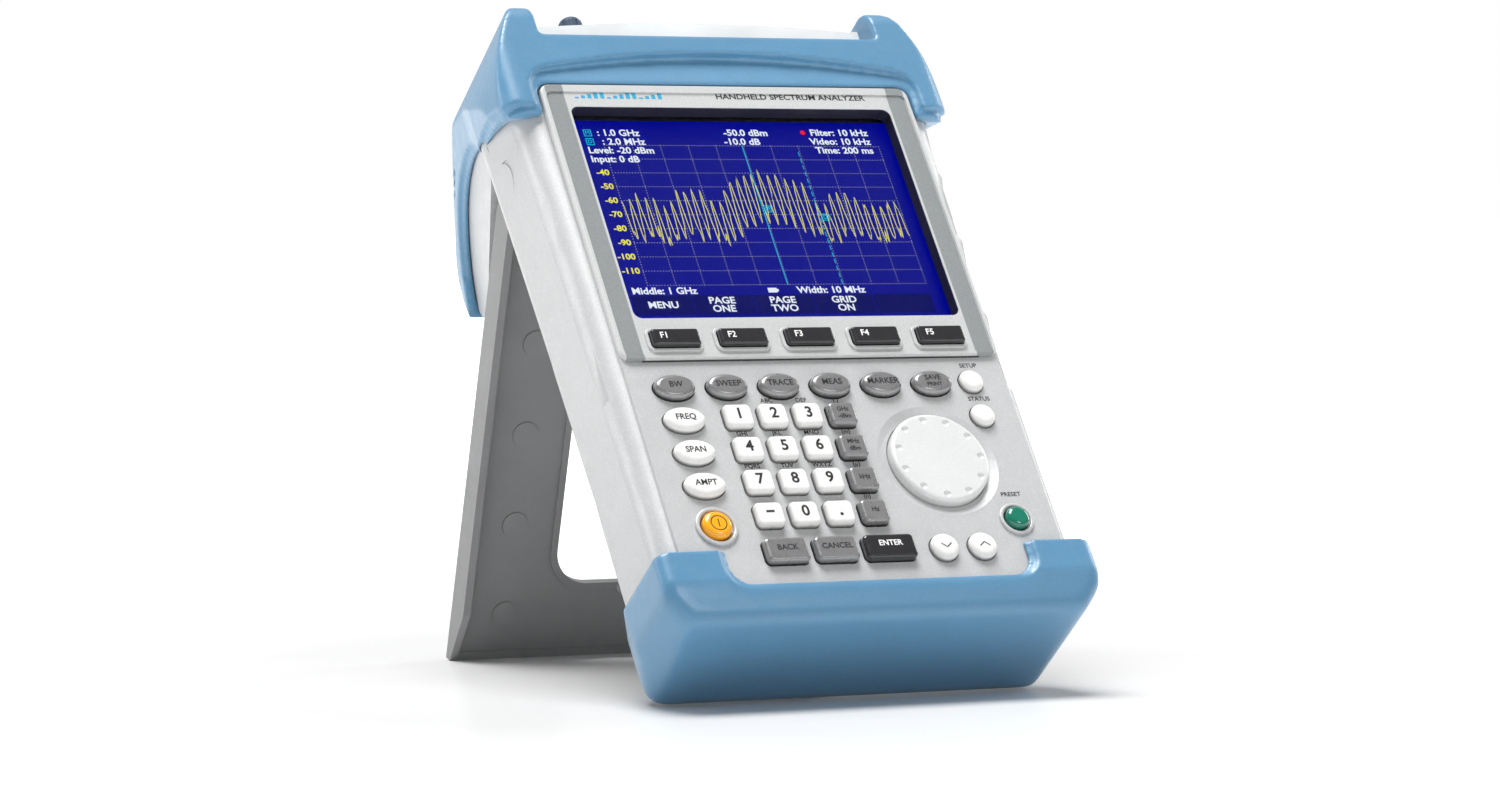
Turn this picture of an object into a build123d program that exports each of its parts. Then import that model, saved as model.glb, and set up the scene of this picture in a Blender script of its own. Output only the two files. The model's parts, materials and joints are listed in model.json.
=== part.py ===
from build123d import *

import os
from math import cos, radians, sin

# Handheld spectrum analyzer standing on its fold-out rear stand.
# Every piece is drawn in the analyzer's own frame: x across the front, y up the front from the
# foot of the lower bumper, z out of the front panel (z = 0 is the keypad face).
# The finished pieces are then leant back together onto the floor: +Z up, front towards -Y,
# origin at the middle of the underside of the whole object.

# ---- driving dimensions, mm -------------------------------------------------------------
LEAN = 37.4                  # lean of the front from upright, degrees
STAND_OPEN = 54.2            # stand's opening from its folded place, degrees

CASE_LOW = (76.0, 9.0)       # case outline: half width and height at the foot
CASE_WAIST = (76.6, 110.0)
CASE_TOP = (79.5, 222.0)
CASE_END = 241.0             # height of the head's top wall
SHOULDER = -1.2              # shoulders lie this far behind the keypad face
LEDGE = -39.0                # back of the case beside the hump
HUMP_BACK = -47.5
HUMP_HALF = 66.8
HUMP_FOOT, HUMP_END = 24.0, 216.0
WALL = 2.5

FACE_HALF = 70.0             # raised keypad face
FACE_FOOT, FACE_TOP = 15.5, 221.5

BEZEL_FOOT, BEZEL_TOP = 105.0, 221.0
BEZEL_HALF = 70.3
BEZEL_FRONT = 1.8
SCREEN_HALF = 60.9
SCREEN_FOOT, SCREEN_TOP = 122.0, 211.5
WINDOW_BACK = -5.2
LCD_BACK = -10.8

KEY_TRAVEL = 1.2
KEY_GAP = 0.3                # clearance all round a key cap
KEY_FLANGE = 0.8             # how far a key's retaining flange reaches past its cap
FLANGE_TOP, KEY_BOTTOM = -3.9, -4.8
MAT_BACK, MAT_FRONT = -8.2, -7.2
BOARD_BACK, BOARD_FRONT = -9.9, -8.3

KNOB_AT = (34.1, 63.1)
KNOB_R = 17.7
KNOB_TOP, KNOB_BACK = 2.4, -1.9
SPINDLE_R = 3.0
DIMPLES = 11
DISH_R = 21.8

HEAD_BACK = -110.6           # rearmost point of the head, inside its bumper
SKIN = 3.4                   # upper bumper's skin over the head
COLLAR = 1.6                 # its thinner collar round the edge of the skin
COLLAR_REACH = 3.0           # how far the collar shows below the skin
BUMPER_HALF = 85.2
BUMPER_TOP = 257.5           # tips of the two horns
BUMPER_EDGE = 7.0            # rounding between its front and its sides
BROW_LEG = 73.8              # half width of the arch under the brow
BROW_END, BROW_ARCH = 227.5, 234.4
NOTCH_HALF = 64.5            # connector bay between the horns
NOTCH_FOOT = 242.0
TRAY_BACK, TRAY_FRONT = -74.0, -6.5
TRAY_EDGE, TRAY_CROWN = 245.1, 247.1
TRAY_FRONT_END, TRAY_FRONT_CROWN = 252.2, 255.4

FLOOR_EDGE = -46.4           # rear edge of the lower bumper, which stands on the floor
BOOT_HALF = 79.6
BOOT_FRONT = 2.8
WING_HALF = 54.5             # keypad side of the lower bumper's two wings
WING_TOP = 30.3
LIP_TOP = 16.6

HINGE = (205.5, -44.5)       # stand's hinge line: height, depth
STAND_HALF = 71.0
STAND_WALL = 2.8
STAND_BACK = 6.9             # hinge line to the stand's outer face
STAND_FRONT = 4.1            # hinge line to the front edge of its side flanges
STAND_EYE = 4.8              # round end of each flange about the hinge line
STAND_RIB = 0.7              # ribs on the stand's inner face
PEG_R = 2.2
RUNNING_FIT = 0.05

PORT_DEPTH = -48.0           # depth of the two signal ports in the connector bay
PORT_U = 27.0
PORT_R = 7.9

# round sockets in the connector bay: name -> (radius, across, depth)
SOCKETS = {"headphone": (4.2, 52.0, -24.0), "supply": (5.2, 52.0, -50.0), "sensor": (3.2, -40.2, -19.0)}
SOCKET_BORES = {"headphone": 1.8, "supply": 2.9, "sensor": 1.6}
SOCKET_TOPS = {"headphone": 250.0, "supply": 250.5, "sensor": 254.0}
CAP_TOP = 266.0

SCREW_SPOTS = [(72.2, 42.0), (72.2, 194.0)]
SCREW_SEAT = LEDGE + 2.2
SEAM = Plane(origin=(0, 33, -15.6), x_dir=(1, 0, 0), z_dir=(0, 0.0676, 1))
COVER = (50.0, 44.0, 142.0)  # battery cover: half width, foot, top

FIT = 0.1                    # gap between assembled neighbours


# ---- helpers ----------------------------------------------------------------------------
def front_face(*edges):
    """Face in the plane of the front from joined edges."""
    return make_face(Curve() + list(edges))


def slab(face, back, front):
    """Prism of a front-plane face between two depths."""
    return extrude(Pos(0, 0, back) * face, amount=front - back, dir=(0, 0, 1))


def plate(half_width, foot, top, radius, back, front):
    """Rounded rectangular plate centred across the front."""
    outline = RectangleRounded(2 * half_width, top - foot, radius)
    return slab(Pos(0, (foot + top) / 2, 0) * outline, back, front)


def side_prism(face, half_width):
    """Prism of a side-view face (height, depth) across the whole width."""
    return extrude(Plane.YZ * face, amount=half_width, both=True)


def plan_prism(face, foot, top):
    """Prism of a top-view face (across, depth) between two heights."""
    plane = Plane(origin=(0, foot, 0), x_dir=(1, 0, 0), z_dir=(0, -1, 0))
    return extrude(plane * face, amount=top - foot, dir=(0, 1, 0))


def block(across, height, depth):
    """Axis-aligned box from (low, high) pairs."""
    size = [high - low for low, high in (across, height, depth)]
    middle = [(high + low) / 2 for low, high in (across, height, depth)]
    return Pos(*middle) * Box(*size)


def rod(radius, at, back, front):
    """Cylinder square to the front."""
    return Pos(at[0], at[1], (back + front) / 2) * Cylinder(radius, front - back)


def post(radius, at, foot, top):
    """Cylinder along the height of the case; at is (across, depth)."""
    return Pos(at[0], (foot + top) / 2, at[1]) * Rot(90, 0, 0) * Cylinder(radius, top - foot)


def both_sides(solid):
    """A solid and its mirror image across the middle of the front."""
    return [solid, mirror(solid, about=Plane.YZ)]


def edges_at_depth(solid, depth):
    """Edges that lie wholly at one depth."""
    return solid.edges().filter_by_position(Axis.Z, depth - 0.01, depth + 0.01)


# ---- case -------------------------------------------------------------------------------
def case_outline(inset):
    """Front view of the case, drawn in by inset."""
    low, waist, top = CASE_LOW, CASE_WAIST, CASE_TOP
    corner = 8.0 - inset / 2
    foot = low[1] + inset
    end = CASE_END - inset
    side = [(low[0] - inset, 30.0), (waist[0] - inset, waist[1]), (top[0] - inset, top[1])]
    right = [
        Line((0, foot), (side[0][0] - corner, foot)),
        ThreePointArc((side[0][0] - corner, foot), (side[0][0] - 0.29 * corner, foot + 0.29 * corner),
                      (side[0][0], foot + corner)),
        Line((side[0][0], foot + corner), side[0]),
        ThreePointArc(*side),
        Line(side[2], (side[2][0], end - 10)),
        ThreePointArc((side[2][0], end - 10), (side[2][0] - 2.9, end - 2.9), (side[2][0] - 10, end)),
        Line((side[2][0] - 10, end), (0, end)),
    ]
    left = [mirror(edge, about=Plane.YZ) for edge in right]
    return front_face(*right, *left)


def head_profile(inset):
    """Side view of the head's rear bulge."""
    top = CASE_END - inset
    back = HEAD_BACK + inset
    tip = (196.0 + inset, -98.0 + inset)
    root = (216.0 + inset, HUMP_BACK + 4)
    return make_face(
        Curve() + [
            Line((top, -30), (top, -66)),
            ThreePointArc((top, -66), (234.5 - 0.7 * inset, -92.0 + 0.7 * inset), (214.0, back)),
            ThreePointArc((214.0, back), (202.0 + 0.6 * inset, back + 4.0), tip),
            Line(tip, root),
            Line(root, (root[0], -30)),
            Line((root[0], -30), (top, -30)),
        ]
    )


def head_plan(grow):
    """Top view of the head's rear bulge, widened by grow."""
    half = [(79.5, -20), (79.5, -30), (73.4, -46), (66.4, -80), (58.2, -116)]
    right = [(x + grow, z) for x, z in half]
    left = [(-x, z) for x, z in reversed(right)]
    return make_face(Polyline(*right, *left, close=True))


def make_case_form(inset):
    """Outer form of the case (inset 0) or its inner hollow (inset = wall)."""
    front = SHOULDER - inset
    body = slab(case_outline(inset), LEDGE + inset, front)
    body = fillet(edges_at_depth(body, front), 9.0 - inset)
    body = fillet(edges_at_depth(body, LEDGE + inset), 6.0 - inset)
    hump = plate(HUMP_HALF - inset, HUMP_FOOT + inset, HUMP_END - inset, 6.0 - inset,
                 HUMP_BACK + inset, LEDGE + inset + 2)
    head = side_prism(head_profile(inset), 90) & plan_prism(head_plan(-inset), 180, 260)
    form = body + hump + head
    if inset <= 0:
        form += plate(FACE_HALF - inset, FACE_FOOT, FACE_TOP - inset, 5, SHOULDER - 1, -inset)
    return form


def make_shells():
    """The case split along its sloping side seam into front and rear shells."""
    outer = make_case_form(0)
    hollow = make_case_form(WALL)
    for x, y in SCREW_SPOTS:
        for pillar in both_sides(block((x - 3.6, 90), (y - 4, y + 4), (LEDGE - 1, SHOULDER))):
            hollow -= pillar
    shell = outer - hollow
    for bore in bay_bores():
        shell -= bore
    front = split(shell, bisect_by=SEAM, keep=Keep.TOP)
    rear = split(shell, bisect_by=SEAM, keep=Keep.BOTTOM)
    return front, rear


def bay_bores():
    """Bores through the head's top wall for the signal ports and the sockets."""
    bores = both_sides(post(6.2, (PORT_U, PORT_DEPTH), 230, 246))
    for radius, across, depth in SOCKETS.values():
        bores.append(post(radius - 0.9, (across, depth), 230, 246))
    return bores


def notch_cutters():
    """Crescent finger notches where the side seam opens, top and foot."""
    cutters = []
    for height, depth in ((199.0, -24.0), (40.0, -12.5)):
        disc = Pos(74.5 + 8, height, depth) * Rot(0, 90, 0) * Cylinder(7.0, 8)
        keep = Pos(74.5 + 8, height, depth - 3.0) * Rot(0, 90, 0) * Cylinder(7.6, 9)
        cutters += both_sides(disc - keep)
    return cutters


# ---- keys -------------------------------------------------------------------------------
# name: (shape, across, height, width, length, cap top)
ROWS = [81.3, 68.3, 55.3, 42.3]
COLUMNS = [-35.0, -22.3, -9.6, 3.1]
NUMBER_NAMES = [["1", "2", "3", "ghz"], ["4", "5", "6", "mhz"], ["7", "8", "9", "khz"],
                ["minus", "0", "point", "hz"]]


def key_table():
    """Every key as name -> (shape, across, height, width, length, cap top)."""
    keys = {}
    for i in range(5):
        keys[f"key_f{i + 1}"] = ("bar", 24.7 * (i - 2), 112.7, 17.4, 6.6, 4.2)
    for i, name in enumerate(("bw", "sweep", "trace", "meas", "marker", "save")):
        keys[f"key_{name}"] = ("oval", -54.4 + 19.05 * i, 93.8, 14.7, 9.5, 3.0)
    for i, name in enumerate(("freq", "span", "ampt")):
        keys[f"key_{name}"] = ("oval", -54.4, 80.8 - 13.0 * i, 14.7, 9.5, 3.0)
    for row, names in zip(ROWS, NUMBER_NAMES):
        for column, name in zip(COLUMNS, names):
            keys[f"key_{name}"] = ("block", column, row, 9.7, 8.9, 3.2)
    for name, across, width in (("back", -32.9, 15.2), ("cancel", -15.0, 15.2), ("enter", 4.5, 18.5)):
        keys[f"key_{name}"] = ("block", across, 28.4, width, 9.1, 3.2)
    for name, across, height, size, top in (
        ("down", 24.9, 28.0, 10.0, 3.0), ("up", 39.0, 28.0, 10.0, 3.0),
        ("setup", 56.2, 94.4, 8.8, 2.6), ("status", 56.1, 80.3, 8.8, 2.6),
        ("power", -54.3, 39.3, 10.4, 2.8), ("preset", 55.6, 38.7, 8.5, 2.8),
    ):
        keys[f"key_{name}"] = ("round", across, height, size, size, top)
    return keys


KEYS = key_table()


def key_outline(shape, width, length, grow):
    """Plan of a key cap, grown all round."""
    if shape == "oval":
        return Ellipse(width / 2 + grow, length / 2 + grow)
    if shape == "round":
        return Circle(width / 2 + grow)
    radius = {"bar": 1.1, "block": 1.8}[shape] + max(grow, 0)
    return RectangleRounded(width + 2 * grow, length + 2 * grow, radius)


def make_key(shape, across, height, width, length, top):
    """A moulded key: domed cap above the face, retaining flange below the wall."""
    at = Pos(across, height, 0)
    cap = slab(key_outline(shape, width, length, 0), FLANGE_TOP - 0.1, top)
    edge_radius = {"bar": 1.0, "block": 1.2, "oval": 1.9, "round": 2.0}[shape]
    cap = fillet(edges_at_depth(cap, top), edge_radius)
    flange = slab(key_outline(shape, width, length, KEY_FLANGE), KEY_BOTTOM, FLANGE_TOP)
    return at * (cap + flange)


def key_opening(shape, across, height, width, length, top):
    """Clearance hole for a key through the panel."""
    hole = slab(key_outline(shape, width, length, KEY_GAP), SHOULDER - WALL - 2, BEZEL_FRONT + 4)
    return Pos(across, height, 0) * hole


def ring(across, height, inner, outer, front):
    """Raised ring round a recessed round key."""
    body = Pos(across, height, 0) * slab(Circle(outer) - Circle(inner), -0.5, front)
    return fillet(edges_at_depth(body, front), min(0.6, front / 2))


# ---- front shell and its furniture ------------------------------------------------------
def finish_front_shell(shell):
    """Openings, knob dish and key rings of the front shell."""
    shell += ring(*KEYS["key_power"][1:3], 5.9, 7.4, 1.2)
    shell += ring(*KEYS["key_preset"][1:3], 4.9, 6.2, 1.0)
    floor = SHOULDER - WALL
    dish = Pos(*KNOB_AT, -0.6) * Cone(KNOB_R + 0.5, DISH_R, 1.2)
    well = rod(KNOB_R + 0.4, KNOB_AT, KNOB_BACK - 0.3, 5)
    shell = shell - dish - well - rod(SPINDLE_R + 0.4, KNOB_AT, floor - 1, 1)
    shell -= plate(SCREEN_HALF + 2.0, SCREEN_FOOT - 2.0, SCREEN_TOP + 2.0, 4.5, floor - 1, 3)
    for key in KEYS.values():
        shell -= key_opening(*key)
    for x, y in SCREW_SPOTS:
        for bore in both_sides(rod(1.7, (x, y), LEDGE, -6.0)):
            shell -= bore
    for cutter in notch_cutters():
        shell -= cutter
    return shell


def make_bezel():
    """Raised display surround with the deep screen opening and the five softkey collars."""
    panel = plate(BEZEL_HALF, BEZEL_FOOT, BEZEL_TOP, 4.0, 0.0, BEZEL_FRONT)
    panel = fillet(edges_at_depth(panel, BEZEL_FRONT), 0.9)
    panel -= plate(BEZEL_HALF - 1.7, BEZEL_FOOT + 1.7, BEZEL_TOP - 3.4, 2.6, BEZEL_FRONT - 0.5, 9)
    panel += plate(SCREEN_HALF + 1.9, SCREEN_FOOT - 1.9, SCREEN_TOP + 1.9, 4.4, -4.0, 0.2)
    for name, key in KEYS.items():
        if key[0] == "bar":
            collar = Pos(key[1], key[2], 0) * slab(
                key_outline("bar", key[3], key[4], KEY_GAP + 1.1), 0.5, BEZEL_FRONT + 0.3)
            panel += fillet(edges_at_depth(collar, BEZEL_FRONT + 0.3), 0.5)
    for key in KEYS.values():
        if key[0] == "bar":
            panel -= key_opening(*key)
    return panel - plate(SCREEN_HALF, SCREEN_FOOT, SCREEN_TOP, 3.0, -9, 9)


def make_knob():
    """Finger-dimpled tuning knob with its moulded spindle."""
    disc = rod(KNOB_R, (0, 0), KNOB_BACK, KNOB_TOP)
    disc = fillet(edges_at_depth(disc, KNOB_TOP), 1.5)
    disc += rod(SPINDLE_R, (0, 0), BOARD_FRONT + 1.0, KNOB_BACK + 0.1)
    reach = KNOB_R - 2.7
    for i in range(DIMPLES):
        disc -= Rot(0, 0, 360 * i / DIMPLES) * Pos(reach, 0, KNOB_TOP + 0.85) * Sphere(1.6)
    return Pos(*KNOB_AT, 0) * disc


def make_encoder():
    """Hollow-shaft encoder that carries the knob's spindle."""
    body = plate(6.2, -6.2, 6.2, 0.8, BOARD_FRONT + FIT, -5.6) + rod(5.0, (0, 0), -5.7, -3.8)
    body -= rod(SPINDLE_R + RUNNING_FIT, (0, 0), BOARD_FRONT + 0.9, 0)
    return Pos(*KNOB_AT, 0) * body


def make_mat():
    """Silicone key mat with one dome pad below each key."""
    mat = plate(65.5, 22.0, 117.6, 3, MAT_BACK, MAT_FRONT)
    pad_top = KEY_BOTTOM - KEY_TRAVEL - FIT
    for shape, across, height, *_ in KEYS.values():
        mat += rod(2.4, (across, height), MAT_FRONT - 0.1, pad_top)
    return mat - rod(9.2, KNOB_AT, MAT_BACK - 1, 0)


# ---- upper bumper and connector bay -----------------------------------------------------
def bumper_form(grow):
    """Outer form of the upper bumper: front view, side view and top view intersected."""
    half = BUMPER_HALF - SKIN + grow
    top = BUMPER_TOP - SKIN + grow
    back = HEAD_BACK - grow
    right = [
        Line((0, 180), (half, 180)),
        Line((half, 180), (half, 212)),
        ThreePointArc((half, 212), (half - 3.6, top - 22), (half - 10.5, top - 6)),
        ThreePointArc((half - 10.5, top - 6), (half - 14, top - 1.6), (half - 18.5, top)),
        Line((half - 18.5, top), (0, top)),
    ]
    front_view = front_face(*right, *[mirror(edge, about=Plane.YZ) for edge in right])
    side_view = make_face(
        Curve() + [
            Line((180, grow), (top - 9, grow)),
            ThreePointArc((top - 9, grow), (top - 2.6, grow - 2.6), (top, grow - 9)),
            Line((top, grow - 9), (top, -46)),
            Spline((top, -46), (245.0 + 0.85 * grow, -73.0 - 0.53 * grow),
                   (231.0 + 0.7 * grow, -97.0 - 0.7 * grow), (214.0, back), tangents=[(0, -1), (-1, 0)]),
            ThreePointArc((214.0, back), (203.5 - 0.4 * grow, back + 3.2), (193.0 - grow, -97.5 - grow / 2)),
            Line((193.0 - grow, -97.5 - grow / 2), (180, -60)),
            Line((180, -60), (180, grow)),
        ]
    )
    edge = BUMPER_EDGE
    side = [(half, -12), (half - 4.2, -33), (half - 8.2, -45), (half - 15.2, -80), (half - 23.5, -118)]
    plan_right = [
        Line((0, grow), (half - edge, grow)),
        ThreePointArc((half - edge, grow), (half - 0.29 * edge, grow - 0.29 * edge), (half, grow - edge)),
        Polyline((half, grow - edge), *side, (0, -118)),
    ]
    plan = front_face(*plan_right, *[mirror(piece, about=Plane.YZ) for piece in plan_right])
    return slab(front_view, -120, 10) & side_prism(side_view, 95) & plan_prism(plan, 170, 265)


def side_skirt(drop):
    """Side view of what the upper bumper leaves bare, its edge lowered by drop."""
    return make_face(
        Curve() + [
            Line((150, 20), (211.5 - drop, 20)),
            Line((211.5 - drop, 20), (211.5 - drop, -2)),
            ThreePointArc((211.5 - drop, -2), (216.8 - drop, -13), (221.0 - drop, -31)),
            Line((221.0 - drop, -31), (221.5 - drop, -37)),
            ThreePointArc((221.5 - drop, -37), (228.0 - drop, -42), (233.5 - drop, -48)),
            ThreePointArc((233.5 - drop, -48), (235.0 - drop, -80), (219.0 - drop, -104.0)),
            Line((219.0 - drop, -104.0), (204.0 - drop, -112.0)),
            Line((204.0 - drop, -112.0), (204.0 - drop, -130)),
            Line((204.0 - drop, -130), (150, -130)),
            Line((150, -130), (150, 20)),
        ]
    )


def brow_opening():
    """Front view of the display side of the upper bumper's edge: a shallow arch over two legs."""
    right = [
        Line((BROW_LEG, 180), (BROW_LEG, BROW_END - 9)),
        ThreePointArc((BROW_LEG, BROW_END - 9), (BROW_LEG - 1.9, BROW_END - 3.6), (BROW_LEG - 7.5, BROW_END)),
    ]
    arch = ThreePointArc((BROW_LEG - 7.5, BROW_END), (0, BROW_ARCH), (7.5 - BROW_LEG, BROW_END))
    foot = Line((-BROW_LEG, 180), (BROW_LEG, 180))
    return front_face(*right, arch, foot, *[mirror(edge, about=Plane.YZ) for edge in right])


def make_upper_bumper(case_form):
    """Soft upper bumper: brow, ears, two horns and the wrap over the back of the head."""
    skin = bumper_form(SKIN) - side_prism(side_skirt(0), 95)
    skin -= slab(brow_opening(), -8, 20)
    collar = bumper_form(COLLAR) - side_prism(side_skirt(COLLAR_REACH), 95)
    panel_corner = Pos(0, (180 + BEZEL_TOP + 0.6) / 2, 0) * RectangleRounded(
        2 * (BEZEL_HALF + 0.6), BEZEL_TOP + 0.6 - 180, 4.6)
    collar -= slab(panel_corner, -8, 20)
    cove = make_face(Polyline((222, COLLAR + 0.1), (BROW_ARCH, -0.3), (BROW_ARCH, 9), (222, 9), close=True))
    collar -= side_prism(cove, 95)
    bumper = skin + collar
    bumper -= block((-NOTCH_HALF, NOTCH_HALF), (NOTCH_FOOT, 300), (-140, 40))
    bumper -= block((-NOTCH_HALF, NOTCH_HALF), (CASE_END, 300), (TRAY_BACK - FIT, TRAY_FRONT + 0.5))
    for slot in both_sides(Pos(78, 241.8, -80.2) * Rot(-22.2, 0, 0) * Box(24, 1.4, 12)):
        bumper -= slot
    return bumper - case_form


def make_connector_panel():
    """Light grey tray in the connector bay: crowned floor, two side walls and an arched front wall."""
    half = NOTCH_HALF - FIT
    foot = CASE_END + FIT
    tray = front_face(
        Line((-half, foot), (half, foot)),
        Line((half, foot), (half, 253.0)),
        Line((half, 253.0), (half - 2.3, 253.0)),
        Line((half - 2.3, 253.0), (half - 3.3, TRAY_EDGE)),
        ThreePointArc((half - 3.3, TRAY_EDGE), (0, TRAY_CROWN), (3.3 - half, TRAY_EDGE)),
        Line((3.3 - half, TRAY_EDGE), (2.3 - half, 253.0)),
        Line((2.3 - half, 253.0), (-half, 253.0)),
        Line((-half, 253.0), (-half, foot)),
    )
    front_wall = front_face(
        Line((-half, foot), (half, foot)),
        Line((half, foot), (half, TRAY_FRONT_END)),
        ThreePointArc((half, TRAY_FRONT_END), (0, TRAY_FRONT_CROWN), (-half, TRAY_FRONT_END)),
        Line((-half, TRAY_FRONT_END), (-half, foot)),
    )
    underside = block((-59, 59), (CASE_END, 244.0), (TRAY_BACK + WALL, TRAY_FRONT - WALL))
    panel = slab(tray, TRAY_BACK, TRAY_FRONT) + slab(front_wall, TRAY_FRONT - WALL, TRAY_FRONT)
    return (panel - underside) & bumper_form(COLLAR)


# ---- lower bumper -----------------------------------------------------------------------
def make_lower_bumper(case_form):
    """Soft lower bumper the case stands in: two front wings, lipped opening, sloping underside."""
    right = [
        Line((0, -3), (66.0, -3)),
        Line((66.0, -3), (BOOT_HALF, 12.5)),
        Line((BOOT_HALF, 12.5), (BOOT_HALF, WING_TOP - 1.5)),
        Line((BOOT_HALF, WING_TOP - 1.5), (0, WING_TOP)),
    ]
    front_view = front_face(*right, *[mirror(edge, about=Plane.YZ) for edge in right])
    side_view = make_face(Polyline(
        (40, BOOT_FRONT), (17, BOOT_FRONT), (4.5, -1.4), (0, FLOOR_EDGE), (9, HUMP_BACK - 3.2),
        (40, HUMP_BACK - 3.2), close=True))
    plan = make_face(Polyline(
        (BOOT_HALF, 5), (BOOT_HALF, -30), (69.5, -53), (-69.5, -53), (-BOOT_HALF, -30),
        (-BOOT_HALF, 5), close=True))
    form = slab(front_view, -60, 10) & side_prism(side_view, 90) & plan_prism(plan, -10, 45)
    form = fillet(form.edges().filter_by(lambda edge: edge.center().Y < WING_TOP - 2), 4.0)
    opening = plate(WING_HALF, LIP_TOP, 60.0, 7.5, -0.05, 20)
    lip = plate(WING_HALF + 2.4, LIP_TOP - 2.4, 60.0, 9.0, BOOT_FRONT - 1.4, 20)
    return form - opening - lip - case_form


# ---- stand ------------------------------------------------------------------------------
def stand_reach(floor, foot_depth):
    """Length of the stand below its hinge so that its foot meets the floor."""
    lean, tilt = radians(LEAN), radians(STAND_OPEN - LEAN)
    hinge_height = cos(lean) * HINGE[0] + sin(lean) * HINGE[1] - floor
    return (hinge_height - foot_depth * sin(tilt)) / cos(tilt)


def make_stand(floor):
    """Fold-out stand, drawn folded then opened: plate with a window, side flanges and pegs."""
    inner = -STAND_BACK + STAND_WALL
    reach = stand_reach(floor, inner + STAND_RIB)
    head = -4.0
    outer_plate = plate(STAND_HALF, -reach, head, 1.5, -STAND_BACK, inner)
    window = plate(34.0, -144.0, -36.0, 13.0, -STAND_BACK - 1, inner + 1)
    outline = make_face(
        Curve() + [
            Line((-reach, -STAND_BACK), (head, -STAND_BACK)),
            Line((head, -STAND_BACK), (0, -STAND_EYE)),
            ThreePointArc((0, -STAND_EYE), (STAND_EYE, 0), (0, STAND_EYE)),
            Line((0, STAND_EYE), (-reach + 20, STAND_FRONT)),
            Line((-reach + 20, STAND_FRONT), (-reach, inner + STAND_RIB)),
            Line((-reach, inner + STAND_RIB), (-reach, -STAND_BACK)),
        ]
    )
    flange = extrude(Plane.YZ * outline, amount=STAND_WALL, dir=(1, 0, 0))
    flange = Pos(STAND_HALF - STAND_WALL, 0, 0) * flange
    rim = plate(36.5, -146.5, -33.5, 15.0, inner - 0.1, inner + STAND_RIB) - plate(
        34.0, -144.0, -36.0, 13.0, inner - 1, inner + 4)
    rib_half = STAND_HALF - 1
    foot_rib = block((-rib_half, rib_half), (-reach, -reach + 3), (inner - 0.1, inner + STAND_RIB))
    peg = Pos(STAND_HALF - STAND_WALL - 1.6, 0, 0) * Rot(0, 90, 0) * Cylinder(PEG_R, 3.4)
    stand = outer_plate - window + rim + foot_rib
    for piece in both_sides(flange) + both_sides(peg):
        stand += piece
    for distance in (53.0, 87.0, 121.0, 155.0):
        for disc in both_sides(rod(4.7, (51.6, -distance), inner - 0.1, inner + 0.5)):
            stand += disc
    return Pos(0, *HINGE) * Rot(STAND_OPEN, 0, 0) * stand


# ---- rear shell and its furniture -------------------------------------------------------
def finish_rear_shell(shell):
    """Peg sockets, battery opening, port holes and screw seats of the rear shell."""
    for boss in both_sides(Pos(HUMP_HALF - 3.2, *HINGE) * Rot(0, 90, 0) * Cylinder(4.0, 6.2)):
        shell += boss & block((-HUMP_HALF, HUMP_HALF), (190, 216), (HUMP_BACK, -38))
    shell -= Pos(0, *HINGE) * Rot(0, 90, 0) * Cylinder(PEG_R + RUNNING_FIT, 2 * HUMP_HALF + 4)
    shell -= plate(COVER[0], COVER[1], COVER[2], 4, HUMP_BACK - 1, HUMP_BACK + WALL + 1)
    shell += plate(COVER[0] + 2, COVER[1] - 2, COVER[2] + 2, 5, HUMP_BACK + 2.2, HUMP_BACK + 3.4) - plate(
        COVER[0] - 2.5, COVER[1] + 2.5, COVER[2] - 2.5, 3, HUMP_BACK, HUMP_BACK + 6)
    for x, y in SCREW_SPOTS:
        for seat in both_sides(rod(3.0, (x, y), LEDGE - 1, SCREW_SEAT) + rod(1.7, (x, y), LEDGE, -6)):
            shell -= seat
    for cutter in notch_cutters():
        shell -= cutter
    return shell


def make_sockets():
    """Headphone, supply and sensor sockets: threaded barrels with clear bores."""
    solids = []
    for name, (radius, across, depth) in SOCKETS.items():
        top = SOCKET_TOPS[name]
        barrel = post(radius - 1.0, (across, depth), 234.5, top)
        barrel += post(radius, (across, depth), 247.4, top - 1.0)
        solids.append(barrel - post(SOCKET_BORES[name], (across, depth), 236.5, 260))
    return solids


def make_ports():
    """Two coaxial signal ports: flange, threaded barrel, socket bore and centre contact."""
    solids = []
    for sign in (-1, 1):
        at = (sign * PORT_U, PORT_DEPTH)
        flange = block((at[0] - 12.5, at[0] + 12.5), (247.4, 249.4), (at[1] - 12.5, at[1] + 12.5))
        port = fillet(flange.edges().filter_by(Axis.Y), 1.5)
        port += post(6.0, at, 236.5, 248) + post(PORT_R, at, 249, 262.0)
        port += post(9.4, at, 249.0, 251.6)
        port -= post(6.4, at, 252.5, 270)
        port += post(2.9, at, 252.0, 260.5) - post(1.0, at, 253, 270)
        for x in (-9.0, 9.0):
            for z in (-9.0, 9.0):
                port += post(1.7, (at[0] + x, at[1] + z), 249.3, 250.4)
        solids.append(port)
    return solids


def finish_connector_panel(panel):
    """Holes for the ports and sockets, and flat seats for their flanges."""
    for sign in (-1, 1):
        x = sign * PORT_U
        panel -= post(6.2, (x, PORT_DEPTH), 235, 260)
        panel -= block((x - 12.7, x + 12.7), (247.35, 260), (PORT_DEPTH - 12.7, PORT_DEPTH + 12.7))
        panel += block((x - 13.5, x + 13.5), (244, 247.3), (PORT_DEPTH - 13.5, PORT_DEPTH + 13.5)) - post(
            6.2, (x, PORT_DEPTH), 235, 260)
    for radius, across, depth in SOCKETS.values():
        panel += post(radius + 1.2, (across, depth), 243, 247.3)
        panel -= post(radius - 0.9, (across, depth), 235, 260)
    return panel


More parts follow.
